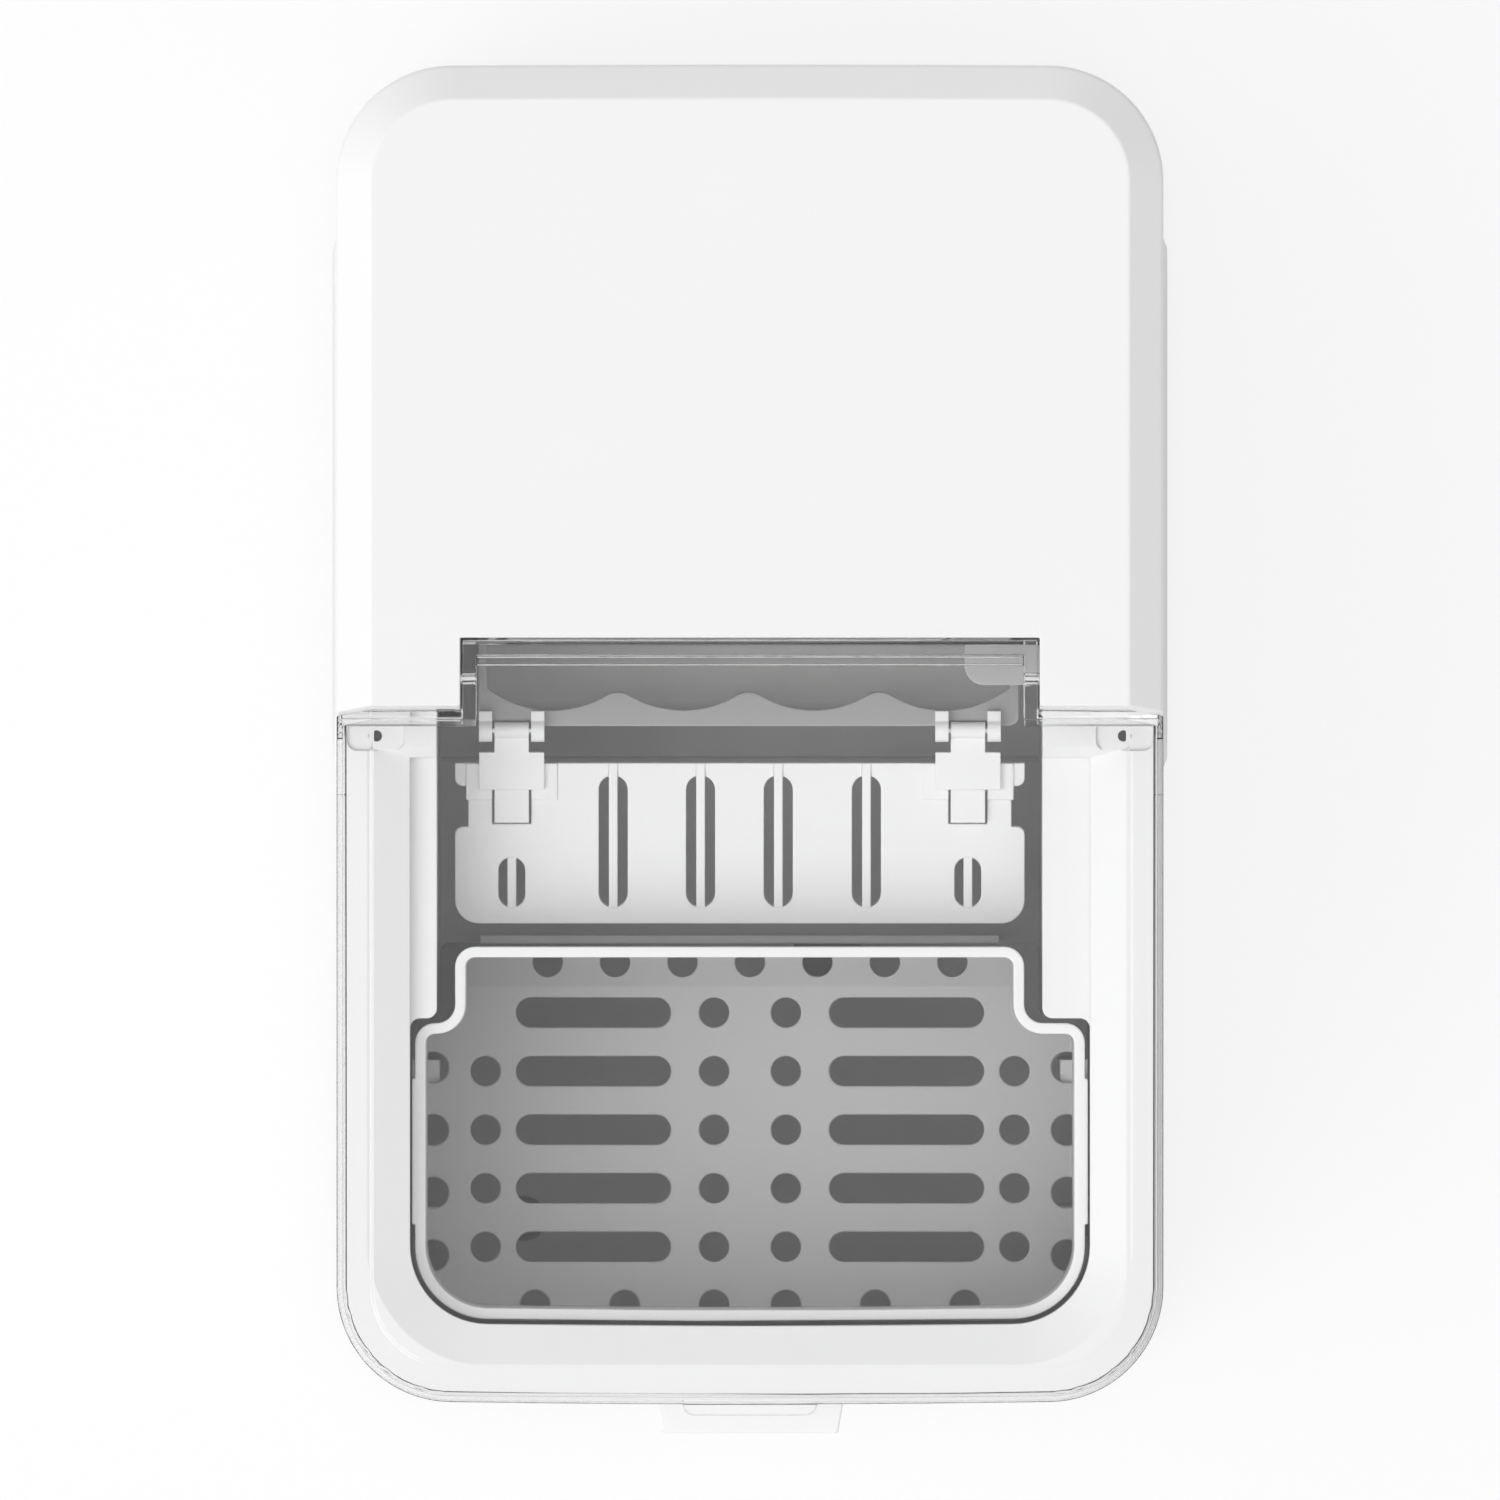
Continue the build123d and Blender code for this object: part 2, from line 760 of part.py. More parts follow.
with BuildPart() as water_tank:
    extrude(
        cavity_plan(chamber_floor - tank_wall, chamber_rear, tank_wall),
        amount=tank_top - chamber_floor + tank_wall
    )
    extrude(
        cavity_plan(reservoir_floor - tank_wall, reservoir_rear, tank_wall),
        amount=chamber_floor - reservoir_floor
    )
    lengthwise(nipple_radius + 2.0, pump_x, nipple_z, reservoir_rear, reservoir_rear + nipple_length)
    extrude(cavity_plan(chamber_floor, chamber_rear), amount=tank_top - chamber_floor, mode=Mode.SUBTRACT)
    extrude(
        cavity_plan(reservoir_floor, reservoir_rear),
        amount=chamber_floor - reservoir_floor,
        mode=Mode.SUBTRACT,
    )
    lengthwise(
        nipple_radius,
        pump_x,
        nipple_z,
        reservoir_rear - 1,
        reservoir_rear + nipple_length,
        Mode.SUBTRACT,
    )
    span_box(
        (chamber_left + weir_side, chamber_right - weir_side),
        (reservoir_rear, reservoir_rear + weir_thickness),
        (chamber_floor, chamber_floor + weir_height),
    )
    span_box(
        (chamber_left, chamber_right),
        (chamber_rib_y - chamber_rib / 2, chamber_rib_y + chamber_rib / 2),
        (chamber_floor, chamber_floor + chamber_rib),
    )
    for y in (-128.0, -88.0):
        for side in (-1, 1):
            reach = sorted((side * (cavity_half + 1), side * (cavity_half - support_reach)))
            span_box(reach, (y - support_width / 2, y + support_width / 2), (reservoir_floor, support_top))
    upright(drain_radius, drain_x, drain_y, reservoir_floor - tank_wall, reservoir_floor, Mode.SUBTRACT)
    bush_radius = axle_radius + pin_clearance + bush_wall
    crossbar(bush_radius, axle_y, axle_z, left_wall[0] - 1, right_wall[1] + 1, Mode.SUBTRACT)
    crossbar(sensor_radius, sensor_y, sensor_z, left_wall[0] - 1, right_wall[1] + 1, Mode.SUBTRACT)
    crossbar(hose_radius, spout_nipple_y, spout_z, right_wall[0] - 1, right_wall[1] + 1, Mode.SUBTRACT)
water_tank.part.label = "water_tank"
export_step(water_tank.part, "parts/water_tank.step")

foam_bottom = reservoir_floor - tank_wall - foam
with BuildPart() as tank_insulation:
    extrude(cavity_plan(foam_bottom, reservoir_rear, tank_wall + foam), amount=foam + tank_wall + foam_height)
    extrude(
        cavity_plan(foam_bottom + foam, reservoir_rear, tank_wall),
        amount=tank_wall + foam_height,
        mode=Mode.SUBTRACT
    )
    upright(drain_radius + drain_wall, drain_x, drain_y, foam_bottom, foam_bottom + foam, Mode.SUBTRACT)
    lengthwise(nipple_radius + 2.0, pump_x, nipple_z, reservoir_rear, reservoir_rear + 30, Mode.SUBTRACT)
tank_insulation.part.label = "tank_insulation"
export_step(tank_insulation.part, "parts/tank_insulation.step")

collar_low = cap_ground_gap + cap_wall + 0.6
collar_high = base_top + 4.0
collar_radius = cap_radius - cap_wall - 0.1
with BuildPart() as drain_outlet:
    upright(drain_radius + drain_wall, drain_x, drain_y, collar_low, reservoir_floor - tank_wall)
    upright(collar_radius, drain_x, drain_y, collar_low, collar_high)
    upright(drain_radius, drain_x, drain_y, collar_low, reservoir_floor - tank_wall, Mode.SUBTRACT)
drain_outlet.part.label = "drain_outlet"
export_step(drain_outlet.part, "parts/drain_outlet.step")

with BuildPart() as drain_cap:
    upright(cap_radius, drain_x, drain_y, cap_ground_gap, base_top)
    upright(cap_radius - cap_wall, drain_x, drain_y, cap_ground_gap + cap_wall, base_top, Mode.SUBTRACT)
    with BuildSketch(Plane.XY.offset(cap_ground_gap)) as cap_slot:
        with Locations([(drain_x, drain_y)]):
            SlotOverall(1.4 * cap_radius, 3.0)
    extrude(cap_slot.sketch, amount=cap_wall / 2, mode=Mode.SUBTRACT)
drain_cap.part.label = "drain_cap"
export_step(drain_cap.part, "parts/drain_cap.step")

with BuildPart() as level_probes:
    probe_y = reservoir_rear - 6.0
    span_box((12, 30), (probe_y - 3, reservoir_rear), (chamber_floor - 4, chamber_floor + 6))
    for x in (16, 26):
        upright(1.5, x, probe_y, reservoir_floor + 6, chamber_floor - 4)
level_probes.part.label = "level_probes"
export_step(level_probes.part, "parts/level_probes.step")

with BuildPart() as ice_sensors:
    for wall, side in ((left_wall[0], -1), (right_wall[1], 1)):
        span_box(sorted((wall, wall + side * 6)), (sensor_y - 5, sensor_y + 5), (sensor_z - 7, sensor_z + 7))
        crossbar(sensor_radius, sensor_y, sensor_z, *sorted((wall + side, wall - side * tank_wall)))
ice_sensors.part.label = "ice_sensors"
export_step(ice_sensors.part, "parts/ice_sensors.step")


# ---------------------------------------------------------------- ice basket
def basket_plan(z, grow=0.0):
    """The basket seen from above, which follows the opening with its own gaps."""
    return stepped_plan(
        z,
        cavity_half - basket_side_gap,
        chamber_left + basket_rear_side_gap,
        chamber_right - basket_rear_side_gap,
        reservoir_rear - basket_rear_gap,
        step_y - basket_side_gap,
        cavity_front + basket_side_gap,
        cavity_corner - basket_side_gap,
        basket_rear_corner,
        grow,
    )


basket_half = cavity_half - basket_side_gap
basket_rear = reservoir_rear - basket_rear_gap
basket_front = cavity_front + basket_side_gap
rim_step = basket_rim - basket_wall
row_ys = [step_y + 1.1 - i * hole_pitch for i in range(hole_rows)]
side_hole_ys = [side_hole_y - i * side_hole_pitch for i in range(side_hole_rows)]
front_hole_xs = [
    side * (hole_column + i * front_hole_pitch)
    for side in (-1, 1)
    for i in range(front_hole_count // 2)
]
rear_hole_xs = [(i - (rear_hole_count - 1) / 2) * rear_hole_pitch for i in range(rear_hole_count)]
floor_top = basket_bottom + basket_floor
wall_holes_top = floor_top + 4.0


def rear_wedge(rear, low, start, length):
    """A three-cornered bar along X that slopes the foot of the basket's rear wall."""
    with BuildSketch(Plane.YZ.offset(start)) as wedge:
        with BuildLine():
            Polyline((rear, low), (rear - basket_slope, low), (rear, low + basket_slope), (rear, low))
        make_face()
    return extrude(wedge.sketch, amount=length, mode=Mode.PRIVATE)


with BuildPart() as ice_basket:
    extrude(basket_plan(basket_top - rim_height), amount=rim_height)
    extrude(basket_plan(basket_bottom, -rim_step), amount=basket_height - rim_height)
    for side in (-1, 1):
        reach = sorted((side * (basket_half - basket_wall), side * (basket_half + grip_reach)))
        span_box(
            reach, (grip_y - grip_length / 2, grip_y + grip_length / 2), (basket_top - grip_depth, basket_top)
        )
    extrude(basket_plan(floor_top, -basket_rim), amount=basket_height, mode=Mode.SUBTRACT)
    outer_rear = basket_rear - rim_step
    inner_rear = basket_rear - basket_rim
    add(rear_wedge(outer_rear, basket_bottom, -half_width, casing_width), mode=Mode.SUBTRACT)
    inner_left = chamber_left + basket_rear_side_gap + basket_wall
    inner_right = chamber_right - basket_rear_side_gap - basket_wall
    add(rear_wedge(inner_rear, floor_top, inner_left, inner_right - inner_left))
    with BuildSketch(Plane.XY.offset(basket_bottom)) as floor_holes:
        with Locations([(side * slot_x, y) for side in (-1, 1) for y in row_ys]):
            SlotOverall(slot_length, 2 * hole_radius)
        with Locations([(side * hole_column, y) for side in (-1, 1) for y in row_ys]):
            Circle(hole_radius)
        with Locations([(side * outer_column, y) for side in (-1, 1) for y in row_ys[1:]]):
            Circle(hole_radius)
    extrude(floor_holes.sketch, amount=basket_floor, mode=Mode.SUBTRACT)
    with BuildSketch(Plane.XY.offset(basket_bottom)) as wall_holes:
        edge_x = basket_half - basket_rim - 1.4
        with Locations([(side * edge_x, y) for side in (-1, 1) for y in side_hole_ys]):
            Circle(edge_hole_radius)
        with Locations([(x, basket_front + basket_rim + 0.4) for x in front_hole_xs]):
            Circle(hole_radius)
    extrude(wall_holes.sketch, amount=wall_holes_top - basket_bottom, mode=Mode.SUBTRACT)
    with BuildSketch(Plane.XY.offset(basket_bottom)) as rear_holes:
        with Locations([(x, inner_rear - 1.6) for x in rear_hole_xs]):
            Circle(hole_radius)
    extrude(rear_holes.sketch, amount=basket_slope + 2 * basket_floor, mode=Mode.SUBTRACT)
ice_basket.part.label = "ice_basket"
export_step(ice_basket.part, "parts/ice_basket.step")

# ---------------------------------------------------------------- swing tray and its drive
tray_top = axle_z + tray_rim
bracket_xs = [side * bracket_spread for side in (-1, 1)]
lip_front = axle_y - tray_outer_radius - tray_lip

with BuildPart() as scallops:
    span_box((tray_left, tray_right), (lip_front, scallop_y), (axle_z - tray_outer_radius, tray_top))
    for x in finger_xs:
        upright(scallop_radius, x, scallop_y, axle_z - tray_outer_radius, tray_top, Mode.SUBTRACT)
    crest_y = scallop_y - (scallop_radius**2 - (finger_pitch / 2) ** 2) ** 0.5
    crests = scallops.edges().filter_by(Axis.Z).filter_by(lambda edge: abs(edge.center().Y - crest_y) < 0.01)
    fillet(crests, scallop_crest)

with BuildPart() as tray_hollow:
    crossbar(tray_inner_radius, axle_y, axle_z, tray_left + tray_wall, tray_right - tray_wall)
    add(scallops.part, mode=Mode.SUBTRACT)

with BuildPart() as swing_tray:
    crossbar(tray_outer_radius, axle_y, axle_z, tray_left, tray_right)
    split(bisect_by=Plane.XY.offset(tray_top), keep=Keep.BOTTOM)
    span_box(
        (tray_left, tray_right),
        (lip_front, axle_y - tray_inner_radius),
        (tray_top - tray_rim, tray_top),
    )
    corners = swing_tray.edges().filter_by(Axis.Z).group_by(Axis.Y)[0]
    fillet(corners, step_corner)
    add(tray_hollow.part, mode=Mode.SUBTRACT)
    for x in bracket_xs:
        middle = shovel_centre + x
        slack = tongue_width / 2 + ear_gap
        crossbar(
            knuckle_radius + running_gap,
            shovel_pin_y,
            shovel_pin_z,
            middle - slack,
            middle + slack,
            Mode.SUBTRACT,
        )
    crossbar(axle_radius, axle_y, axle_z, left_wall[0] - bush_flange - motor_thickness / 2, tray_left)
    crossbar(axle_radius, axle_y, axle_z, tray_right, right_wall[1] + bush_flange)
swing_tray.part.label = "swing_tray"
export_step(swing_tray.part, "parts/swing_tray.step")

with BuildPart() as tray_bushes:
    for wall, side in ((left_wall, -1), (right_wall, 1)):
        outer = wall[0] if side < 0 else wall[1]
        inner = wall[1] if side < 0 else wall[0]
        crossbar(bush_radius, axle_y, axle_z, *sorted((inner, outer)))
        crossbar(bush_radius + 2.5, axle_y, axle_z, *sorted((outer, outer + side * bush_flange)))
        bore = sorted((inner - side, outer + side * (bush_flange + 1)))
        crossbar(axle_radius + pin_clearance, axle_y, axle_z, *bore, Mode.SUBTRACT)
tray_bushes.part.label = "tray_bushes"
export_step(tray_bushes.part, "parts/tray_bushes.step")

motor_face = left_wall[0] - bush_flange
with BuildPart() as tray_motor:
    crossbar(motor_radius, axle_y, axle_z, motor_face - motor_thickness, motor_face)
    for y in (-motor_ear_spread, motor_ear_spread):
        crossbar(3.5, axle_y + y, axle_z, motor_face - 1, left_wall[0])
    bore = (motor_face - motor_thickness / 2 - running_gap, motor_face)
    crossbar(axle_radius + pin_clearance, axle_y, axle_z, *bore, Mode.SUBTRACT)
tray_motor.part.label = "tray_motor"
export_step(tray_motor.part, "parts/tray_motor.step")

# ---------------------------------------------------------------- shovel and its hinges
shovel_plane = Plane(
    origin=(shovel_centre, shovel_pin_y, shovel_pin_z),
    x_dir=(1, 0, 0),
    z_dir=(0, -sin(radians(shovel_tilt)), cos(radians(shovel_tilt))),
)
plate_top = -bracket_rise + 1.2
plate_bottom = plate_top - shovel_thickness
half_shovel = shovel_width / 2
shovel_end = -shovel_start - shovel_length
slot_low = -shovel_start - shovel_slot_start - shovel_slot_length
slot_middle = slot_low + shovel_slot_length / 2
short_slot_middle = slot_low + short_slot_length / 2

with BuildPart() as shovel:
    with BuildSketch(shovel_plane.offset(plate_bottom)) as blade:
        with BuildLine():
            Polyline(
                (0, -shovel_start),
                (half_shovel, -shovel_start),
                (half_shovel, -shovel_start - shovel_tab),
                (half_shovel - shovel_waist, -shovel_start - shovel_tab),
                (half_shovel - shovel_waist, -shovel_start - shovel_waist_end),
                (half_shovel, -shovel_start - shovel_waist_end),
                (half_shovel, shovel_end),
                (0, shovel_end),
            )
            mirror(about=Plane.YZ)
        make_face()
        round_at(blade, [(side * half_shovel, shovel_end) for side in (-1, 1)], shovel_corner)
        waist_ends = (-shovel_start - shovel_tab, -shovel_start - shovel_waist_end)
        waist_corners = [(side * half_shovel, y) for side in (-1, 1) for y in waist_ends]
        round_at(blade, waist_corners, shovel_small_corner)
        with Locations([(x, slot_middle) for x in slot_pitches]):
            SlotOverall(shovel_slot_length, shovel_slot_width, rotation=90, mode=Mode.SUBTRACT)
        with Locations([(x, short_slot_middle) for x in bracket_xs]):
            SlotOverall(short_slot_length, shovel_slot_width - 0.6, rotation=90, mode=Mode.SUBTRACT)
    extrude(blade.sketch, amount=shovel_thickness)
    with BuildSketch(shovel_plane.offset(plate_bottom)) as blade_ribs:
        rib_length = -shovel_start - slot_low
        with Locations([(x, slot_low + rib_length / 2) for x in slot_pitches]):
            Rectangle(shovel_rib, rib_length)
        with Locations([(x, short_slot_middle) for x in bracket_xs]):
            Rectangle(shovel_rib, short_slot_length)
    extrude(blade_ribs.sketch, amount=shovel_rib_height)
    with BuildSketch(shovel_plane.offset(plate_top)) as pads:
        with Locations([(x, -shovel_start - pad_length / 2) for x in bracket_xs]):
            Rectangle(pad_width, pad_length)
    extrude(pads.sketch, amount=pad_height)
    tongue_start = -bracket_start - bracket_length
    with BuildSketch(shovel_plane.offset(plate_bottom)) as slits:
        with Locations([(x, tongue_start - (tongue_length + tongue_slit) / 2) for x in bracket_xs]):
            Rectangle(tongue_width + 2 * tongue_slit, tongue_length + tongue_slit)
            Rectangle(tongue_width, tongue_length + tongue_slit, mode=Mode.SUBTRACT)
        with Locations([(x, tongue_start - tongue_length - tongue_slit / 2) for x in bracket_xs]):
            Rectangle(tongue_width, tongue_slit)
    extrude(slits.sketch, amount=shovel_rib_height + pad_height, mode=Mode.SUBTRACT)
shovel.part.label = "shovel"
export_step(shovel.part, "parts/shovel.step")

pad_top = plate_top + pad_height
for name, x in (("hinge_bracket_left", bracket_xs[0]), ("hinge_bracket_right", bracket_xs[1])):
    with BuildPart() as hinge_bracket:
        with BuildSketch(shovel_plane.offset(pad_top)) as block:
            with Locations([(x, -bracket_start - bracket_length / 2)]):
                Rectangle(bracket_width, bracket_length)
        extrude(block.sketch, amount=bar_height)
        with BuildSketch(shovel_plane.offset(pad_top)) as bar:
            with Locations([(x, -bracket_start / 2)]):
                Rectangle(tongue_width, bracket_start)
        extrude(bar.sketch, amount=bar_height)
        with BuildSketch(shovel_plane.offset(pad_top)) as tongue:
            with Locations([(x, -bracket_start - bracket_length - tongue_length / 2)]):
                Rectangle(tongue_width, tongue_length)
        extrude(tongue.sketch, amount=tongue_height)
        middle = shovel_centre + x
        ends = (middle - tongue_width / 2, middle + tongue_width / 2)
        crossbar(knuckle_radius, shovel_pin_y, shovel_pin_z, *ends)
        crossbar(hinge_pin_radius + pin_clearance, shovel_pin_y, shovel_pin_z, *ends, Mode.SUBTRACT)
    hinge_bracket.part.label = name
    export_step(hinge_bracket.part, "parts/" + name + ".step")

ear_span = tongue_width / 2 + ear_gap + ear_width
with BuildPart() as tray_ears:
    for x in bracket_xs:
        for side in (-1, 1):
            middle = shovel_centre + x
            ends = sorted((middle + side * (ear_span - ear_width), middle + side * ear_span))
            crossbar(ear_radius, shovel_pin_y, shovel_pin_z, *ends)
            span_box(ends, (shovel_pin_y, lip_front + 4), (tray_top, shovel_pin_z + ear_radius - 1))
            crossbar(hinge_pin_radius, shovel_pin_y, shovel_pin_z, *ends, Mode.SUBTRACT)
    add(swing_tray.part, mode=Mode.SUBTRACT)
tray_ears.part.label = "tray_ears"
export_step(tray_ears.part, "parts/tray_ears.step")

with BuildPart() as hinge_pins:
    for x in bracket_xs:
        middle = shovel_centre + x
        crossbar(hinge_pin_radius, shovel_pin_y, shovel_pin_z, middle - ear_span, middle + ear_span)
hinge_pins.part.label = "hinge_pins"
export_step(hinge_pins.part, "parts/hinge_pins.step")


# ---------------------------------------------------------------- refrigerant and water lines
def tube(radius, points, bend):
    """A round tube along straight runs joined by tangent bends."""
    with BuildPart() as line:
        with BuildLine() as path:
            FilletPolyline(*points, radius=bend)
        start = path.line @ 0
        with BuildSketch(Plane(origin=start, z_dir=path.line % 0)) as section:
            Circle(radius)
        sweep(section.sketch, path=path.line)
    return line.part


row_near, row_far = [axle_y + offset for offset in finger_rows]
first_riser = tray_left + 3.4
second_riser = first_riser + 11.0
loop_right = finger_xs[-1] + finger_radius
line_end = chamber_rear + 8.0
riser_bend = 8.0

with BuildPart() as evaporator:
    add(
        tube(
            manifold_radius,
            [
                (first_riser, line_end, riser_height),
                (first_riser, row_near, riser_height),
                (first_riser, row_near, manifold_z),
                (loop_right, row_near, manifold_z),
                (loop_right, row_far, manifold_z),
                (second_riser, row_far, manifold_z),
                (second_riser, row_far, riser_height),
                (second_riser, line_end, riser_height),
            ],
            riser_bend,
        )
    )
    for x in finger_xs:
        for y in (row_near, row_far):
            upright(finger_radius, x, y, axle_z - finger_dip, manifold_z)
    tips = evaporator.edges().group_by(Axis.Z)[0]
    fillet(tips, finger_radius - 0.8)
evaporator.part.label = "evaporator"
export_step(evaporator.part, "parts/evaporator.step")

bar_front = axle_y - bar_width / 2
bar_rear = axle_y + bar_width / 2
with BuildPart() as evaporator_bar:
    span_box((left_wall[0], right_wall[1]), (bar_front, bar_rear), (tank_top, tank_top + bar_thickness))
    for x in (finger_xs[0] + finger_pitch / 2, finger_xs[-1] - finger_pitch / 2):
        span_box((x - 3, x + 3), (bar_front, bar_rear), (manifold_z, tank_top))
    for x in (first_riser, second_riser):
        upright(manifold_radius + running_gap, x, row_near, tank_top, tank_top + bar_thickness, Mode.SUBTRACT)
    upright(
        manifold_radius + running_gap,
        second_riser,
        row_far,
        tank_top,
        tank_top + bar_thickness,
        Mode.SUBTRACT,
    )
    add(evaporator.part, mode=Mode.SUBTRACT)
evaporator_bar.part.label = "evaporator_bar"
export_step(evaporator_bar.part, "parts/evaporator_bar.step")

with BuildPart() as water_spout:
    with BuildSketch(Plane.XY.offset(spout_z - spout_height / 2)) as spout_plan:
        with Locations([(chamber_right - spout_width / 2, spout_nipple_y)]):
            Rectangle(spout_width, spout_length)
        fillet(spout_plan.vertices().group_by(Axis.X)[0].sort_by(Axis.Y)[0], spout_corner)
    extrude(spout_plan.sketch, amount=spout_height)
    crossbar(hose_radius, spout_nipple_y, spout_z, chamber_right, right_wall[1] + 1)
    crossbar(nipple_radius, spout_nipple_y, spout_z, right_wall[1], spout_nipple_end)
    crossbar(
        nipple_radius - 1,
        spout_nipple_y,
        spout_z,
        chamber_right - spout_width,
        spout_nipple_end,
        Mode.SUBTRACT,
    )
water_spout.part.label = "water_spout"
export_step(water_spout.part, "parts/water_spout.step")

# ---------------------------------------------------------------- control pod
pod_back = casing_front + front_bow
pod_cavity_back = pod_front + pod_wall

with BuildPart() as pod_blank:
    with BuildSketch(Plane.XY.offset(pod_bottom)) as pod_plan:
        with BuildLine():
            Polyline(
                (-pod_width / 2, pod_back),
                (-pod_front_width / 2, pod_front),
                (pod_front_width / 2, pod_front),
                (pod_width / 2, pod_back),
                (-pod_width / 2, pod_back),
            )
        make_face()
    extrude(pod_plan.sketch, amount=pod_height)
    foot = pod_blank.edges().group_by(Axis.Z)[0].sort_by(Axis.Y)[0]
    chamfer(foot, pod_toe)
    fillet(pod_blank.edges().group_by(Axis.Y)[0], pod_edge)

button_xs = [(i - 1) * button_pitch for i in range(3)]
with BuildPart() as control_pod:
    add(pod_blank.part)
    span_box(
        (-pod_front_width / 2 + pod_wall, pod_front_width / 2 - pod_wall),
        (pod_cavity_back, pod_back),
        (pod_bottom + 2 * pod_wall, pod_top - pod_wall),
        Mode.SUBTRACT,
    )
    extrude(casing_plan(0, pod_bottom), amount=pod_height, mode=Mode.SUBTRACT)
    for x in button_xs:
        lengthwise(button_radius + button_gap, x, button_z, pod_front - 1, pod_cavity_back, Mode.SUBTRACT)
    span_box(
        (-lens_width / 2, lens_width / 2),
        (pod_front - 1, pod_cavity_back),
        (lens_z - lens_height / 2, lens_z + lens_height / 2),
        Mode.SUBTRACT,
    )
control_pod.part.label = "control_pod"
export_step(control_pod.part, "parts/control_pod.step")

with BuildPart() as indicator_lens:
    span_box(
        (-lens_width / 2, lens_width / 2),
        (pod_front + 0.3, pod_cavity_back),
        (lens_z - lens_height / 2, lens_z + lens_height / 2),
    )
    span_box(
        (-lens_width / 2 - 1.5, lens_width / 2 + 1.5),
        (pod_cavity_back, pod_cavity_back + 1),
        (lens_z - lens_height / 2 - 1.5, lens_z + lens_height / 2 + 1.5),
    )
indicator_lens.part.label = "indicator_lens"
export_step(indicator_lens.part, "parts/indicator_lens.step")

switch_front = board_front - switch_height
flange_front = pod_cavity_back + 0.3
for name, x in (
    ("power_button", button_xs[0]),
    ("select_button", button_xs[1]),
    ("clean_button", button_xs[2]),
):
    with BuildPart() as button:
        lengthwise(button_radius, x, button_z, pod_front + button_sunk, flange_front)
        lengthwise(button_radius + button_lip, x, button_z, flange_front, flange_front + button_flange)
        lengthwise(
            button_stem_radius, x, button_z, flange_front + button_flange, switch_front - button_travel - 0.3
        )
        fillet(button.edges().group_by(Axis.Y)[0], 0.5)
    button.part.label = name
    export_step(button.part, "parts/" + name + ".step")

with BuildPart() as control_board:
    span_box(
        (-board_half, board_half),
        (board_front, board_front + board_thickness),
        (board_bottom, board_top),
    )
    for x in button_xs:
        span_box(
            (x - switch_size / 2, x + switch_size / 2),
            (switch_front, board_front),
            (button_z - switch_size / 2, button_z + switch_size / 2),
        )
    for i in range(4):
        x = (i - 1.5) * 8
        span_box((x - 1.5, x + 1.5), (board_front - 1.2, board_front), (lens_z - 1, lens_z + 1))
control_board.part.label = "control_board"
export_step(control_board.part, "parts/control_board.step")


# ---------------------------------------------------------------- grilles
def side_grille(side):
    """A louvred panel over a side window, proud of the casing with bevelled edges."""
    face = Plane(
        origin=(side * half_width, side_grille_y, side_grille_z),
        x_dir=(0, side, 0),
        z_dir=(side, 0, 0),
    )
    with BuildPart() as grille:
        with BuildSketch(face):
            RectangleRounded(side_grille_length, side_grille_height, side_grille_corner)
        extrude(amount=side_grille_reach)
        outer = grille.faces().sort_by(Axis.X)[-1 if side > 0 else 0]
        chamfer(outer.edges(), length=2 * side_grille_reach, length2=0.8 * side_grille_reach, reference=outer)
        with BuildSketch(face):
            Rectangle(grille_window_length - 2 * seat_gap, grille_window_height - 2 * seat_gap)
        extrude(amount=-casing_wall)
        with BuildSketch(face.offset(-casing_wall)) as louvres:
            with GridLocations(0, louvre_pitch, 1, louvre_count):
                SlotOverall(grille_window_length - side_grille_border, louvre_height)
        extrude(louvres.sketch, amount=casing_wall + side_grille_reach, mode=Mode.SUBTRACT)
    return grille.part


for name, side in (("side_grille_left", -1), ("side_grille_right", 1)):
    with BuildPart() as side_panel:
        add(side_grille(side))
    side_panel.part.label = name
    export_step(side_panel.part, "parts/" + name + ".step")

with BuildPart() as rear_grille:
    with Locations([(0, casing_rear, rear_grille_z)]):
        Box(rear_grille_width, 2 * (casing_wall + rear_grille_thickness), rear_grille_height)
    extrude(
        casing_plan(casing_wall, rear_grille_z - rear_grille_height / 2),
        amount=rear_grille_height,
        mode=Mode.INTERSECT
    )
    slit_plane = Plane(origin=(0, casing_rear, rear_grille_z), x_dir=(1, 0, 0), z_dir=(0, -1, 0))
    with BuildSketch(slit_plane) as slits:
        slit_rows = int((2 * rear_window_rise - louvre_height) / louvre_pitch)
        with GridLocations(rear_window_half + 2, louvre_pitch, 2, slit_rows):
            SlotOverall(rear_window_half - 4, louvre_height)
    extrude(slits.sketch, amount=2 * (casing_wall + rear_grille_thickness), mode=Mode.SUBTRACT)
rear_grille.part.label = "rear_grille"
export_step(rear_grille.part, "parts/rear_grille.step")

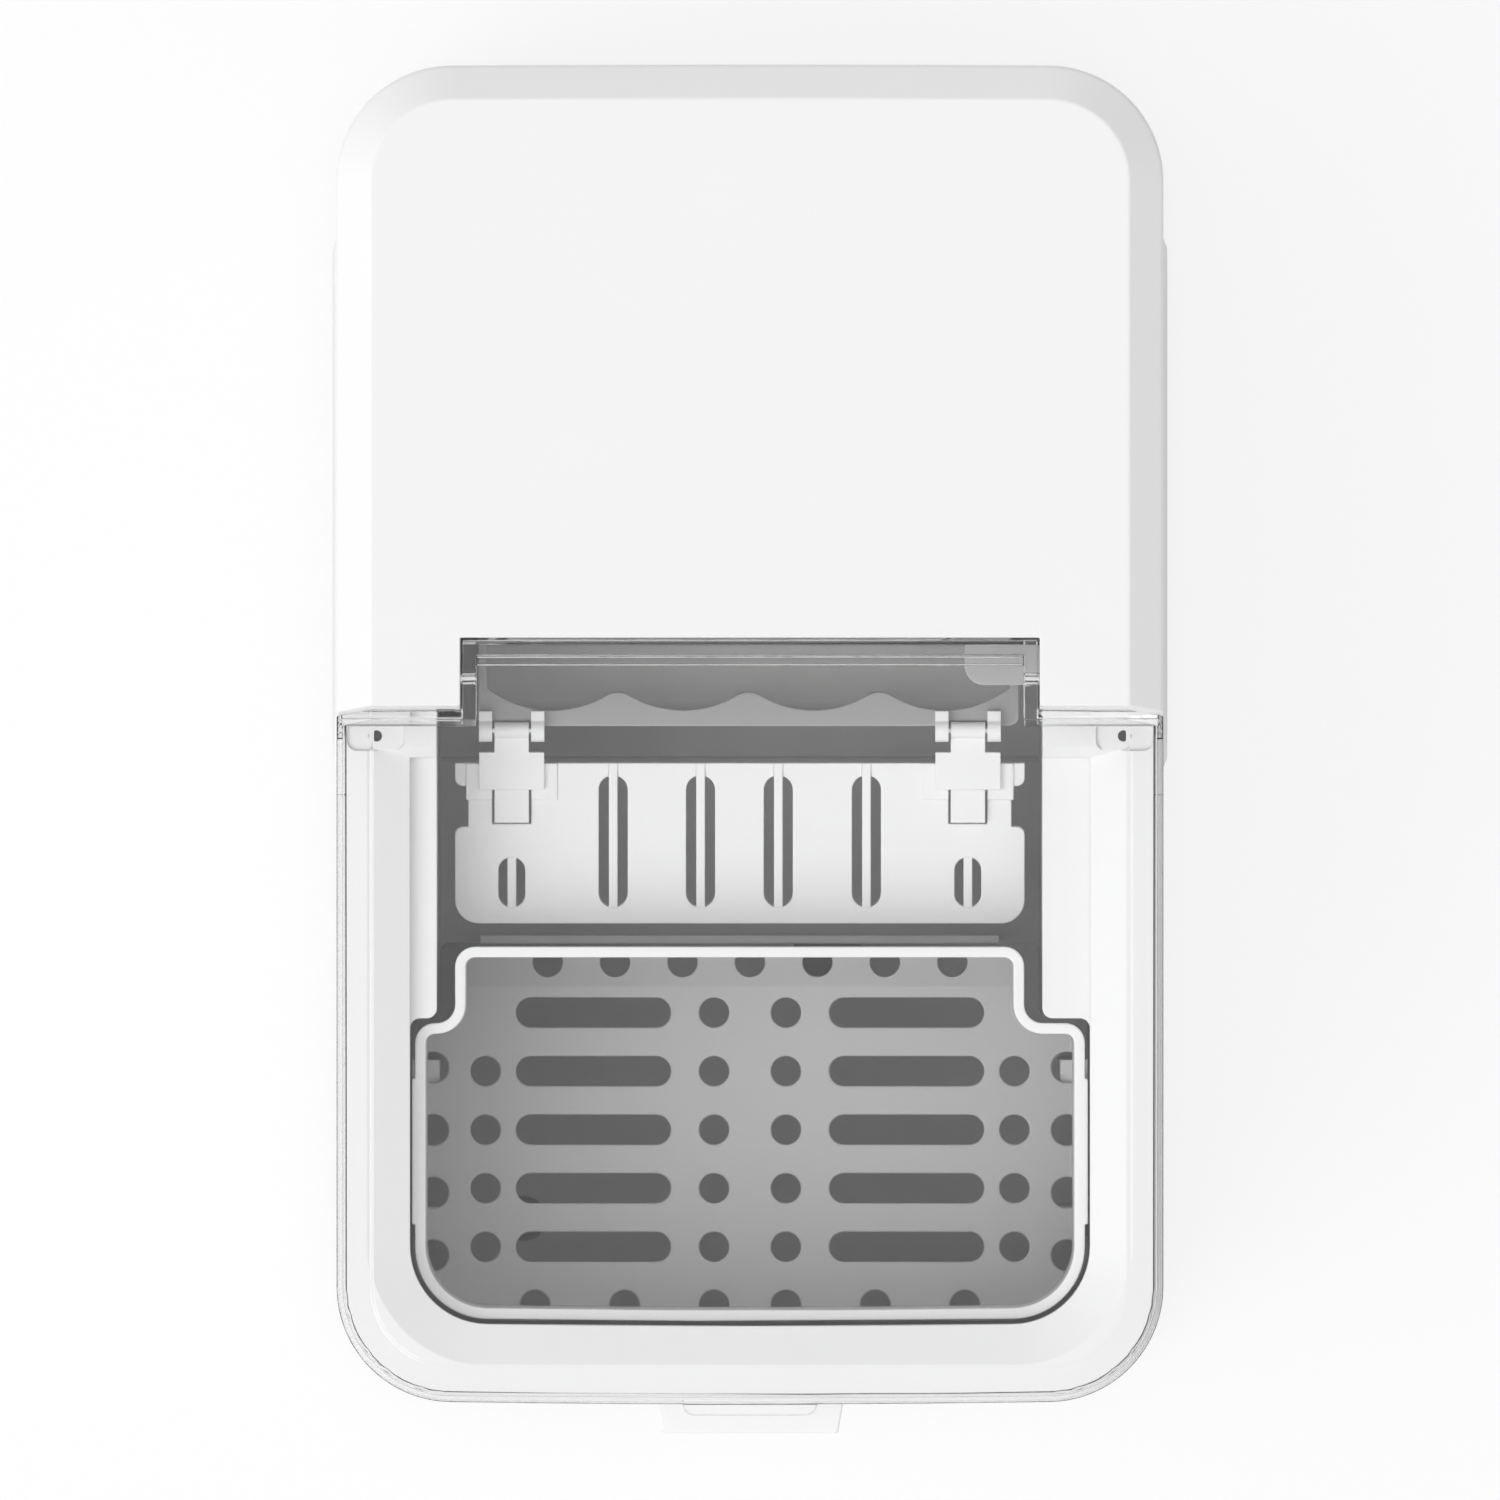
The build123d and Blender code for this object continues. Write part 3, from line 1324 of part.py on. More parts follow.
# ---------------------------------------------------------------- mains side
inlet_depth = 15.0
inner_rear = casing_rear - casing_wall - rear_bow
with BuildPart() as power_inlet:
    with Locations([(inlet_x, inner_rear - inlet_depth / 2, inlet_z)]):
        Box(inlet_width + 10, 2.0, inlet_height + 8)
        Box(inlet_width + 2, inlet_depth, inlet_height + 2)
    span_box(
        (inlet_x - inlet_width / 2 - 5, inlet_x + inlet_width / 2 + 5),
        (inner_rear - 1.5, inner_rear),
        (inlet_z - inlet_height / 2 - 4, inlet_z + inlet_height / 2 + 4),
    )
    span_box(
        (inlet_x - inlet_width / 2 + 2, inlet_x + inlet_width / 2 - 2),
        (inner_rear - inlet_depth + 2, inner_rear),
        (inlet_z - inlet_height / 2 + 2, inlet_z + inlet_height / 2 - 2),
        Mode.SUBTRACT,
    )
    for x, z in ((inlet_x - 7, inlet_z), (inlet_x, inlet_z + 2), (inlet_x + 7, inlet_z)):
        span_box((x - 1, x + 1), (inner_rear - inlet_depth + 1, inner_rear - 3), (z - 2, z + 2))
power_inlet.part.label = "power_inlet"
export_step(power_inlet.part, "parts/power_inlet.step")

mains_board_half = 52.0
mains_board_back = inner_rear - 5.0
with BuildPart() as power_board:
    board_y = (mains_board_back - board_thickness, mains_board_back)
    span_box((-mains_board_half, mains_board_half), board_y, (mains_board_low, mains_board_high))
    part_y = (board_y[0] - 22, board_y[0])
    low_y = (board_y[0] - 15, board_y[0])
    row_low = mains_board_low + 8
    span_box((-44, -14), part_y, (row_low, row_low + 26))
    span_box((-6, 12), low_y, (row_low, row_low + 16))
    span_box((18, 36), low_y, (row_low, row_low + 16))
    lengthwise(8.0, 0, mains_board_low + 50, *part_y)
    lengthwise(6.0, 24, mains_board_low + 48, *part_y)
power_board.part.label = "power_board"
export_step(power_board.part, "parts/power_board.step")

with BuildPart() as board_spacers:
    for x in (-mains_board_half + 5, mains_board_half - 5):
        for z in (mains_board_low + 5, mains_board_high - 5):
            lengthwise(3.5, x, z, mains_board_back, casing_rear)
    extrude(
        casing_plan(casing_wall, mains_board_low),
        amount=mains_board_high - mains_board_low,
        mode=Mode.INTERSECT
    )
board_spacers.part.label = "board_spacers"
export_step(board_spacers.part, "parts/board_spacers.step")

# ---------------------------------------------------------------- compressor
grommet_places = [
    (compressor_x + side * (compressor_radius + 6), compressor_y + end * (compressor_radius - 14))
    for side in (-1, 1)
    for end in (-1, 1)
]

with BuildPart() as compressor:
    with Locations([(compressor_x, compressor_y, plate_low + foot_plate / 2)]):
        Box(2 * compressor_radius + 28, 2 * compressor_radius - 12, foot_plate)
    fillet(compressor.edges().filter_by(Axis.Z), 8.0)
    upright(compressor_radius, compressor_x, compressor_y, compressor_low, compressor_high)
    fillet(compressor.edges().group_by(Axis.Z)[-1], compressor_dome)
    for x, y in grommet_places:
        upright(grommet_radius - 3, x, y, plate_low, compressor_low, Mode.SUBTRACT)
compressor.part.label = "compressor"
export_step(compressor.part, "parts/compressor.step")

with BuildPart() as compressor_grommets:
    for x, y in grommet_places:
        upright(grommet_radius, x, y, base_top, plate_low)
        upright(grommet_radius - 3, x, y, plate_low, compressor_low + 2)
    fillet(compressor_grommets.edges().group_by(Axis.Z)[-1], 1.0)
compressor_grommets.part.label = "compressor_grommets"
export_step(compressor_grommets.part, "parts/compressor_grommets.step")

terminal_depth = 12.0
with BuildPart() as terminal_cover:
    terminal_x = compressor_x + compressor_radius
    span_box(
        (terminal_x - 12, terminal_x + terminal_depth),
        (compressor_y - 14, compressor_y + 14),
        (compressor_low + 10, compressor_low + 54),
    )
    fillet(terminal_cover.edges().group_by(Axis.X)[-1], 3.0)
    upright(compressor_radius, compressor_x, compressor_y, compressor_low, compressor_high, Mode.SUBTRACT)
terminal_cover.part.label = "terminal_cover"
export_step(terminal_cover.part, "parts/terminal_cover.step")

# ---------------------------------------------------------------- condenser and fan
condenser_right = inner_side - condenser_gap
condenser_left = condenser_right - condenser_depth
condenser_x = (condenser_left + condenser_right) / 2
condenser_z = condenser_low + condenser_height / 2
fin_span = condenser_length - 12.0
fin_step = fin_span / (fin_count - 1)
row_pitch = condenser_height / tube_rows
row_zs = [condenser_low + row_pitch * (i + 0.5) for i in range(tube_rows)]
fin_plane = Plane(
    origin=(condenser_x, condenser_y - fin_span / 2, condenser_z),
    x_dir=(1, 0, 0),
    z_dir=(0, -1, 0),
)

with BuildPart() as condenser_fins:
    for i in range(fin_count):
        with BuildSketch(fin_plane.offset(-i * fin_step)) as fin:
            Rectangle(condenser_depth, condenser_height)
            with GridLocations(0, row_pitch, 1, tube_rows):
                Circle(tube_radius, mode=Mode.SUBTRACT)
        extrude(fin.sketch, amount=fin_thickness)
condenser_fins.part.label = "condenser_fins"
export_step(condenser_fins.part, "parts/condenser_fins.step")

turn_reach = condenser_length / 2
with BuildPart() as condenser_tube:
    with BuildLine() as serpentine:
        for i, z in enumerate(row_zs):
            heading = 1 if i % 2 == 0 else -1
            start = (condenser_x, condenser_y - heading * turn_reach, z)
            end = (condenser_x, condenser_y + heading * turn_reach, z)
            Line(start, end)
            if i < tube_rows - 1:
                far = (condenser_x, condenser_y + heading * (turn_reach + row_pitch / 2), z + row_pitch / 2)
                ThreePointArc(end, far, (end[0], end[1], z + row_pitch))
    with BuildSketch(Plane(origin=serpentine.line @ 0, z_dir=(0, 1, 0))) as bore:
        Circle(tube_radius)
    sweep(bore.sketch, path=serpentine.line)
condenser_tube.part.label = "condenser_tube"
export_step(condenser_tube.part, "parts/condenser_tube.step")

with BuildPart() as condenser_frame:
    for end in (-1, 1):
        inner_y = condenser_y + end * (fin_span / 2 + 2)
        span_box(
            (condenser_left, condenser_right),
            sorted((inner_y, inner_y + end * 2)),
            (base_top, condenser_low + condenser_height),
        )
    for z in row_zs:
        lengthwise(
            tube_radius,
            condenser_x,
            z,
            condenser_y - turn_reach,
            condenser_y + turn_reach,
            Mode.SUBTRACT,
        )
condenser_frame.part.label = "condenser_frame"
export_step(condenser_frame.part, "parts/condenser_frame.step")

fan_right = condenser_left - 0.3
fan_left = fan_right - fan_depth
fan_z = condenser_z
motor_radius_fan = fan_hub - 2.5
motor_front = fan_left + spoke_depth + 12.0
with BuildPart() as fan_frame:
    span_box(
        (fan_left, fan_right),
        (condenser_y - fan_size / 2, condenser_y + fan_size / 2),
        (fan_z - fan_size / 2, fan_z + fan_size / 2),
    )
    fillet(fan_frame.edges().filter_by(Axis.X), 6.0)
    crossbar(fan_bore, condenser_y, fan_z, fan_left, fan_right, Mode.SUBTRACT)
    crossbar(fan_hub, condenser_y, fan_z, fan_left, fan_left + spoke_depth)
    span_box(
        (fan_left, fan_left + spoke_depth),
        (condenser_y - fan_bore - 1, condenser_y + fan_bore + 1),
        (fan_z - spoke_width / 2, fan_z + spoke_width / 2),
    )
    span_box(
        (fan_left, fan_left + spoke_depth),
        (condenser_y - spoke_width / 2, condenser_y + spoke_width / 2),
        (fan_z - fan_bore - 1, fan_z + fan_bore + 1),
    )
    for end in (-1, 1):
        span_box(
            (fan_left, fan_left + 8),
            sorted((condenser_y + end * 34, condenser_y + end * 46)),
            (base_top, fan_z - fan_size / 2 + 1),
        )
fan_frame.part.label = "fan_frame"
export_step(fan_frame.part, "parts/fan_frame.step")

shaft_radius = 1.5
with BuildPart() as fan_motor:
    crossbar(motor_radius_fan, condenser_y, fan_z, fan_left + spoke_depth, motor_front)
    crossbar(shaft_radius, condenser_y, fan_z, motor_front, fan_right - 3)
fan_motor.part.label = "fan_motor"
export_step(fan_motor.part, "parts/fan_motor.step")

rotor_back = fan_left + spoke_depth + 1.5
rotor_front = fan_right - 2.5
rotor_plane = Plane(
    origin=((rotor_back + rotor_front) / 2, condenser_y, fan_z),
    x_dir=(0, 1, 0),
    z_dir=(1, 0, 0),
)
with BuildPart() as fan_blades_blank:
    for i in range(fan_blades):
        turn = 360 / fan_blades * i
        radial = (fan_bore + fan_hub) / 2
        spot = rotor_plane.location * Rot(0, 0, turn) * Pos(radial, 0, 0) * Rot(blade_pitch, 0, 0)
        with Locations([spot]):
            Box(fan_bore - fan_hub + 6, blade_chord, blade_thickness)

with BuildPart() as fan_rotor:
    crossbar(fan_bore - fan_tip_gap, condenser_y, fan_z, rotor_back, rotor_front)
    add(fan_blades_blank.part, mode=Mode.INTERSECT)
    crossbar(fan_hub, condenser_y, fan_z, rotor_back, rotor_front)
    crossbar(
        motor_radius_fan + running_gap,
        condenser_y,
        fan_z,
        rotor_back - 1,
        motor_front + 0.5,
        Mode.SUBTRACT,
    )
    crossbar(shaft_radius + pin_clearance, condenser_y, fan_z, rotor_back, rotor_front + 1, Mode.SUBTRACT)
fan_rotor.part.label = "fan_rotor"
export_step(fan_rotor.part, "parts/fan_rotor.step")

# ---------------------------------------------------------------- refrigerant circuit
discharge_x = compressor_x + 12.0
discharge_y = compressor_y + 12.0
suction_y = compressor_y - 12.0
crossing_x = fan_left - 11.0
condenser_end = condenser_y - turn_reach
line_bend = 6.0
valve_x = 0.0
valve_high = valve_low + valve_length
drier_high = drier_low + drier_length

with BuildPart() as suction_line:
    add(
        tube(
            line_radius + 1,
            [
                (second_riser, line_end, riser_height),
                (second_riser, suction_y, riser_height),
                (second_riser, suction_y, compressor_high),
            ],
            riser_bend,
        )
    )
suction_line.part.label = "suction_line"
export_step(suction_line.part, "parts/suction_line.step")

with BuildPart() as discharge_line:
    add(
        tube(
            line_radius,
            [
                (discharge_x, discharge_y, compressor_high),
                (discharge_x, discharge_y, crossing_z),
                (crossing_x, discharge_y, crossing_z),
                (crossing_x, condenser_end - 10, crossing_z),
                (condenser_x, condenser_end - 10, crossing_z),
                (condenser_x, condenser_end - 10, row_zs[-1]),
                (condenser_x, condenser_end, row_zs[-1]),
            ],
            line_bend,
        )
    )
discharge_line.part.label = "discharge_line"
export_step(discharge_line.part, "parts/discharge_line.step")

with BuildPart() as hot_gas_valve:
    upright(line_radius, valve_x, discharge_y, crossing_z, valve_low)
    upright(valve_radius, valve_x, discharge_y, valve_low, valve_high)
    with Locations([(valve_x, discharge_y, (valve_low + valve_high) / 2)]):
        Box(coil_size, coil_size, valve_length - 8)
    upright(line_radius, valve_x, discharge_y, valve_high, valve_high + 8)
    add(discharge_line.part, mode=Mode.SUBTRACT)
hot_gas_valve.part.label = "hot_gas_valve"
export_step(hot_gas_valve.part, "parts/hot_gas_valve.step")

with BuildPart() as hot_gas_line:
    add(
        tube(
            line_radius,
            [
                (first_riser, line_end, riser_height),
                (first_riser, discharge_y, riser_height),
                (valve_x, discharge_y, riser_height),
                (valve_x, discharge_y, valve_high + 8),
            ],
            riser_bend,
        )
    )
hot_gas_line.part.label = "hot_gas_line"
export_step(hot_gas_line.part, "parts/hot_gas_line.step")

with BuildPart() as liquid_line:
    add(
        tube(
            line_radius,
            [
                (condenser_x, condenser_end, row_zs[0]),
                (condenser_x, condenser_end - 8, row_zs[0]),
                (condenser_x, condenser_end - 8, base_top + 8),
                (crossing_x, condenser_end - 8, base_top + 8),
                (crossing_x, drier_y, base_top + 8),
                (drier_x, drier_y, base_top + 8),
                (drier_x, drier_y, drier_low),
            ],
            line_bend,
        )
    )
liquid_line.part.label = "liquid_line"
export_step(liquid_line.part, "parts/liquid_line.step")

with BuildPart() as filter_drier:
    upright(drier_radius, drier_x, drier_y, drier_low, drier_high)
    fillet([edge for edge in filter_drier.edges() if edge.geom_type == GeomType.CIRCLE], 5.0)
filter_drier.part.label = "filter_drier"
export_step(filter_drier.part, "parts/filter_drier.step")

with BuildPart() as capillary:
    capillary_z = mains_board_high + 6.0
    add(
        tube(
            capillary_radius,
            [
                (drier_x, drier_y, drier_high),
                (drier_x, drier_y, capillary_z),
                (first_riser, drier_y, capillary_z),
                (first_riser, line_end - 2.5, capillary_z),
                (first_riser, line_end - 2.5, riser_height - manifold_radius),
            ],
            line_bend,
        )
    )
capillary.part.label = "capillary"
export_step(capillary.part, "parts/capillary.step")

# ---------------------------------------------------------------- water circuit
pump_top = base_top + pump_height
outlet_z = base_top + 20.0
outlet_x = pump_x + pump_radius + 6.0
hose_x = right_wall[1] + 10.7
hose_cross_z = deck_bottom - deck_boss_depth - 16.0

with BuildPart() as water_pump:
    upright(pump_radius, pump_x, pump_y, base_top, pump_top - 6)
    upright(nipple_radius + 1.5, pump_x, pump_y, pump_top - 6, pump_top)
    crossbar(nipple_radius, pump_y, outlet_z, pump_x, outlet_x)
water_pump.part.label = "water_pump"
export_step(water_pump.part, "parts/water_pump.step")

with BuildPart() as pump_inlet_hose:
    add(
        tube(
            hose_radius + 1,
            [
                (pump_x, reservoir_rear + nipple_length, nipple_z),
                (pump_x, pump_y, nipple_z),
                (pump_x, pump_y, pump_top),
            ],
            12.0,
        )
    )
pump_inlet_hose.part.label = "pump_inlet_hose"
export_step(pump_inlet_hose.part, "parts/pump_inlet_hose.step")

with BuildPart() as water_hose:
    add(
        tube(
            hose_radius,
            [
                (outlet_x, pump_y, outlet_z),
                (hose_x, pump_y, outlet_z),
                (hose_x, pump_y, hose_cross_z),
                (hose_x, spout_nipple_y, hose_cross_z),
                (hose_x, spout_nipple_y, spout_z),
                (spout_nipple_end, spout_nipple_y, spout_z),
            ],
            line_bend,
        )
    )
water_hose.part.label = "water_hose"
export_step(water_hose.part, "parts/water_hose.step")
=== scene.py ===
import json
from math import pi, radians

import bmesh
import bpy
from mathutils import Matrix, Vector


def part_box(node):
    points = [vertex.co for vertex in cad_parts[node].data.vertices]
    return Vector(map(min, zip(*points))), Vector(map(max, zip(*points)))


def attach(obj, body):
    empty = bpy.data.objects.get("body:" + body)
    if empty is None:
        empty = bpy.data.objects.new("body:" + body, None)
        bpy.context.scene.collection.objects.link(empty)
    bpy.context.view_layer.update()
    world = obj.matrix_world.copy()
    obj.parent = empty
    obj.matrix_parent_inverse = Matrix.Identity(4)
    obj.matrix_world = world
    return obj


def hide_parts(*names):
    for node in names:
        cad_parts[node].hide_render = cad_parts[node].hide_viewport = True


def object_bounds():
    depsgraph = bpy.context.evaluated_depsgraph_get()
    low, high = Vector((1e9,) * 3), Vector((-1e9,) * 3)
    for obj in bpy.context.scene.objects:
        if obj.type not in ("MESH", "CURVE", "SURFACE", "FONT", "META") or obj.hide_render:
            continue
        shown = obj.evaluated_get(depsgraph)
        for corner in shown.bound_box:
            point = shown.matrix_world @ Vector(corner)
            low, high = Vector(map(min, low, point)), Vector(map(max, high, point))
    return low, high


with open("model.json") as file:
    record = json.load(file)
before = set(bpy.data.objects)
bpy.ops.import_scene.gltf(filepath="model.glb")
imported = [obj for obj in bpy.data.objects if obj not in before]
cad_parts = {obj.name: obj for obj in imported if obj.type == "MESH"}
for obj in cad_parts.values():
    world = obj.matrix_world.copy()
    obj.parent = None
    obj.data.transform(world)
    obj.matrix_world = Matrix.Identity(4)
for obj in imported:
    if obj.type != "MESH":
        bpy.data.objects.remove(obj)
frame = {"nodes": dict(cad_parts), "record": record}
nodes = frame["nodes"]
bodies = frame["record"]["behaviour"]["bodies"]
homes = {name: body for body, members in bodies.items() for name in members}
slots = {subpart["node"]: subpart["material_slot"] for subpart in frame["record"]["subparts"]}
cad_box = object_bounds()

millimetre = 0.001
welding_distance = 0.002 * millimetre


def add(name, data):
    """Puts a new object into the scene."""
    thing = bpy.data.objects.new(name, data)
    bpy.context.scene.collection.objects.link(thing)
    return thing


# ---------------------------------------------------------------- camera and key light
# a long lens straight above; view_width is what its frame spans at the top of the part
view_height = 12.0
view_width = 0.4032
sensor = 36.0
clip_near, clip_far = 1.0, 60.0

# the key light is a broad sun; it and the sky share what falls from its side
key_direction = (-0.243, -0.162, 0.398)
key_share = 0.25
key_strength = 3.25 * key_share
key_spread = radians(40)

camera = add("overhead_camera", bpy.data.cameras.new("overhead_camera"))
camera.data.lens = sensor * view_height / view_width
camera.data.sensor_width = sensor
camera.data.clip_start = clip_near
camera.data.clip_end = clip_far
camera.location = (0, 0, cad_box[1].z + view_height)
bpy.context.scene.camera = camera

key = add("key_light", bpy.data.lights.new("key_light", "SUN"))
key.data.energy = key_strength
key.data.angle = key_spread
key.rotation_mode = "QUATERNION"
key.rotation_quaternion = Vector(key_direction).to_track_quat("Z", "Y")

bpy.context.scene.view_settings.view_transform = "Standard"


# ---------------------------------------------------------------- material kit
# the colour sockets of a Mix node, whose other sockets have the same names
mix_first, mix_second, mix_result = 6, 7, 2
bevel_samples = 4


class Value:
    """A number or colour on a node's socket; an expression on it adds Math nodes."""

    def __init__(self, finish, socket):
        self.finish = finish
        self.socket = socket

    def _math(self, operation, first, second):
        return self.finish.node("ShaderNodeMath", {"operation": operation}, {0: first, 1: second})

    def __add__(self, other):
        return self._math("ADD", self, other)

    __radd__ = __add__

    def __sub__(self, other):
        return self._math("SUBTRACT", self, other)

    def __rsub__(self, other):
        return self._math("SUBTRACT", other, self)

    def __mul__(self, other):
        return self._math("MULTIPLY", self, other)

    __rmul__ = __mul__

    def __truediv__(self, other):
        return self._math("DIVIDE", self, other)

    def __rtruediv__(self, other):
        return self._math("DIVIDE", other, self)

    def at_least(self, other):
        return self._math("MAXIMUM", self, other)

    def clamped(self):
        """Held between 0 and 1."""
        return self.finish.node("ShaderNodeClamp", inputs={0: self})


class Finish:
    """One material, built node by node."""

    end = "ShaderNodeOutputMaterial"

    def __init__(self, name):
        self.start(bpy.data.materials.new(name))

    def start(self, holder):
        """Empties the holder's node tree."""
        self.holder = holder
        self.holder.use_nodes = True
        self.tree = self.holder.node_tree
        self.tree.nodes.clear()

    def node(self, kind, settings=None, inputs=None, output=0):
        """Adds a node, sets it up, fills its sockets and returns one of its outputs."""
        made = self.tree.nodes.new(kind)
        for name, setting in (settings or {}).items():
            setattr(made, name, setting)
        for name, given in (inputs or {}).items():
            if isinstance(given, Value):
                self.tree.links.new(given.socket, made.inputs[name])
            else:
                made.inputs[name].default_value = given
        return Value(self, made.outputs[output]) if len(made.outputs) else None

    def done(self, shader):
        self.node(self.end, inputs={"Surface": shader})
        return self.holder

    def surface(self, **sockets):
        """The Principled shader, with its sockets given by name."""
        return self.node(
            "ShaderNodeBsdfPrincipled",
            inputs={name.replace("_", " "): given for name, given in sockets.items()},
        )

    def place(self, **mapping):
        """Where a point is on the piece, in metres, turned or stretched where that is asked."""
        spot = self.node("ShaderNodeTexCoord", output="Object")
        return self.node("ShaderNodeMapping", inputs={"Vector": spot, **mapping}) if mapping else spot

    def noise(self, scale, detail, **mapping):
        return self.node(
            "ShaderNodeTexNoise",
            inputs={"Vector": self.place(**mapping), "Scale": scale, "Detail": detail},
        )

    def height(self, low, high):
        """0 below one level, 1 above another, and an even climb between them."""
        level = self.node("ShaderNodeSeparateXYZ", inputs={0: self.place()}, output="Z")
        return ((level - low) / (high - low)).clamped()

    def rays(self, kind):
        """1 for rays of one kind, 0 for the others."""
        return self.node("ShaderNodeLightPath", output=f"Is {kind} Ray")

    def dot(self, first, second):
        return self.node(
            "ShaderNodeVectorMath", {"operation": "DOT_PRODUCT"}, {0: first, 1: second}, output="Value"
        )

    def blend(self, amount, first, second):
        """A colour between two others; either may be a link."""
        ends = {
            socket: colour if isinstance(colour, Value) else (*colour, 1.0)
            for socket, colour in ((mix_first, first), (mix_second, second))
        }
        return self.node(
            "ShaderNodeMix", {"data_type": "RGBA"}, {"Factor": amount, **ends}, output=mix_result
        )

    def soft_edges(self, radius):
        return self.node("ShaderNodeBevel", {"samples": bevel_samples}, {"Radius": radius})

    def edge_mask(self, radius, gain):
        """Towards 1 along sharp edges, 0 on flat faces."""
        facing = self.node("ShaderNodeNewGeometry", output="True Normal")
        return ((1 - self.dot(self.soft_edges(radius), facing)) * gain).clamped()

    def bumped(self, height, distance, strength, normal=None):
        inputs = {"Height": height, "Distance": distance, "Strength": strength}
        if normal is not None:
            inputs["Normal"] = normal
        return self.node("ShaderNodeBump", inputs=inputs)


class Sky(Finish):
    """The finish of the world around the part."""

    end = "ShaderNodeOutputWorld"

    def __init__(self, name):
        self.start(bpy.data.worlds.new(name))


# ---------------------------------------------------------------- finishes
# scales are in cells per metre; spread is how far the roughness wanders and drop is how far below
# the given roughness it starts
def grey(level):
    return (level, level, level)


def scaled(colour, factor):
    return tuple(channel * factor for channel in colour)


def moulded(
    name,
    colour,
    roughness,
    edge=0.5 * millimetre,
    grain_depth=0.02 * millimetre,
    marbling=0.015,
    below=None,
    edge_highlight=None,
):
    """Injection-moulded plastic: a fine spark-eroded grain, faint flow marbling and soft edges.

    below is a colour further down, with the two levels, in metres above the counter, between which
    it fades into the first.
    edge_highlight is a lighter colour painted along the edges: a painted highlight.
    """
    flow_scale, grain_scale, grain_strength = 26.0, 3000.0, 0.6
    spread, drop = 0.08, 0.04
    highlight_radius, highlight_gain = 0.7 * millimetre, 7.0
    finish = Finish(name)
    flow = finish.noise(flow_scale, detail=3.0)
    grain = finish.noise(grain_scale, detail=2.0)
    base = finish.blend(flow, scaled(colour, 1 - marbling), colour)
    if below:
        lower, low, high = below
        base = finish.blend(finish.height(low, high), lower, base)
    # painted highlight: the edges are lightened towards the given colour
    if edge_highlight:
        base = finish.blend(finish.edge_mask(highlight_radius, highlight_gain), base, edge_highlight)
    return finish.done(
        finish.surface(
            Base_Color=base,
            Roughness=flow * spread + (roughness - drop),
            Normal=finish.bumped(grain, grain_depth, grain_strength, finish.soft_edges(edge)),
            IOR=1.5,
        )
    )


def clear_plastic(name, tint, edge_shade, shade):
    """Polished clear plastic, with dark lines painted along its edges in place of the dark reflections
    seen there, that lets the lamps' light through.
    """
    shade_line_radius, shade_line_gain = 0.4 * millimetre, 9.0
    ripple_scale, ripple_depth, ripple_strength = 38.0, 0.02 * millimetre, 0.08
    finish = Finish(name)
    ripple = finish.noise(ripple_scale, detail=1.0)
    body = finish.surface(
        Base_Color=finish.blend(finish.edge_mask(shade_line_radius, shade_line_gain), tint, edge_shade),
        Roughness=0.02,
        IOR=1.49,
        Transmission_Weight=1.0,
        Normal=finish.bumped(ripple, ripple_depth, ripple_strength),
    )
    passing = finish.node("ShaderNodeBsdfTransparent", inputs={"Color": (*shade, 1.0)})
    unseen = finish.rays("Shadow").at_least(finish.rays("Diffuse"))
    return finish.done(finish.node("ShaderNodeMixShader", inputs={0: unseen, 1: body, 2: passing}))


def metal(name, colour, roughness, brushing, along="X"):
    """Bare metal, with brush marks drawn out along one direction."""
    mark_scales = [20.0 if axis == along else 900.0 for axis in "XYZ"]
    mark_depth, edge = 0.01 * millimetre, 0.3 * millimetre
    patch_scale, patch_shade = 60.0, 0.88
    spread, drop = 0.14, 0.05
    finish = Finish(name)
    marks = finish.noise(1.0, detail=3.0, Scale=mark_scales)
    patches = finish.noise(patch_scale, detail=3.0)
    return finish.done(
        finish.surface(
            Base_Color=finish.blend(patches, scaled(colour, patch_shade), colour),
            Metallic=1.0,
            Roughness=marks * spread + (roughness - drop),
            Normal=finish.bumped(marks, mark_depth, brushing, finish.soft_edges(edge)),
        )
    )


def painted(name, colour, roughness):
    """Sprayed enamel with a slight orange peel."""
    peel_scale, peel_depth, peel_strength = 700.0, 0.03 * millimetre, 0.7
    dust_scale, dust_shade = 34.0, 0.85
    spread, drop = 0.12, 0.06
    edge = 0.5 * millimetre
    finish = Finish(name)
    peel = finish.noise(peel_scale, detail=2.0)
    dust = finish.noise(dust_scale, detail=4.0)
    return finish.done(
        finish.surface(
            Base_Color=finish.blend(dust, scaled(colour, dust_shade), colour),
            Roughness=dust * spread + (roughness - drop),
            Normal=finish.bumped(peel, peel_depth, peel_strength, finish.soft_edges(edge)),
            Coat_Weight=0.25,
            Coat_Roughness=0.15,
        )
    )


def rubber(name, colour):
    mottle_scale, mottle_shade, mottle_depth, mottle_strength = 220.0, 0.7, 0.05 * millimetre, 0.8
    roughness, spread = 0.7, 0.15
    edge = 0.6 * millimetre
    finish = Finish(name)
    mottle = finish.noise(mottle_scale, detail=4.0)
    return finish.done(
        finish.surface(
            Base_Color=finish.blend(mottle, scaled(colour, mottle_shade), colour),
            Roughness=mottle * spread + roughness,
            Normal=finish.bumped(mottle, mottle_depth, mottle_strength, finish.soft_edges(edge)),
        )
    )


def foam(name, colour):
    """Closed-cell foam: small round cells."""
    cell_scale, cell_shade, cell_depth, cell_strength = 420.0, 0.84, 0.25 * millimetre, 0.6
    finish = Finish(name)
    cells = finish.node(
        "ShaderNodeTexVoronoi",
        inputs={"Vector": finish.place(), "Scale": cell_scale, "Randomness": 1.0},
    )
    return finish.done(
        finish.surface(
            Base_Color=finish.blend(cells, colour, scaled(colour, cell_shade)),
            Roughness=0.95,
            Normal=finish.bumped(cells, cell_depth, cell_strength),
        )
    )


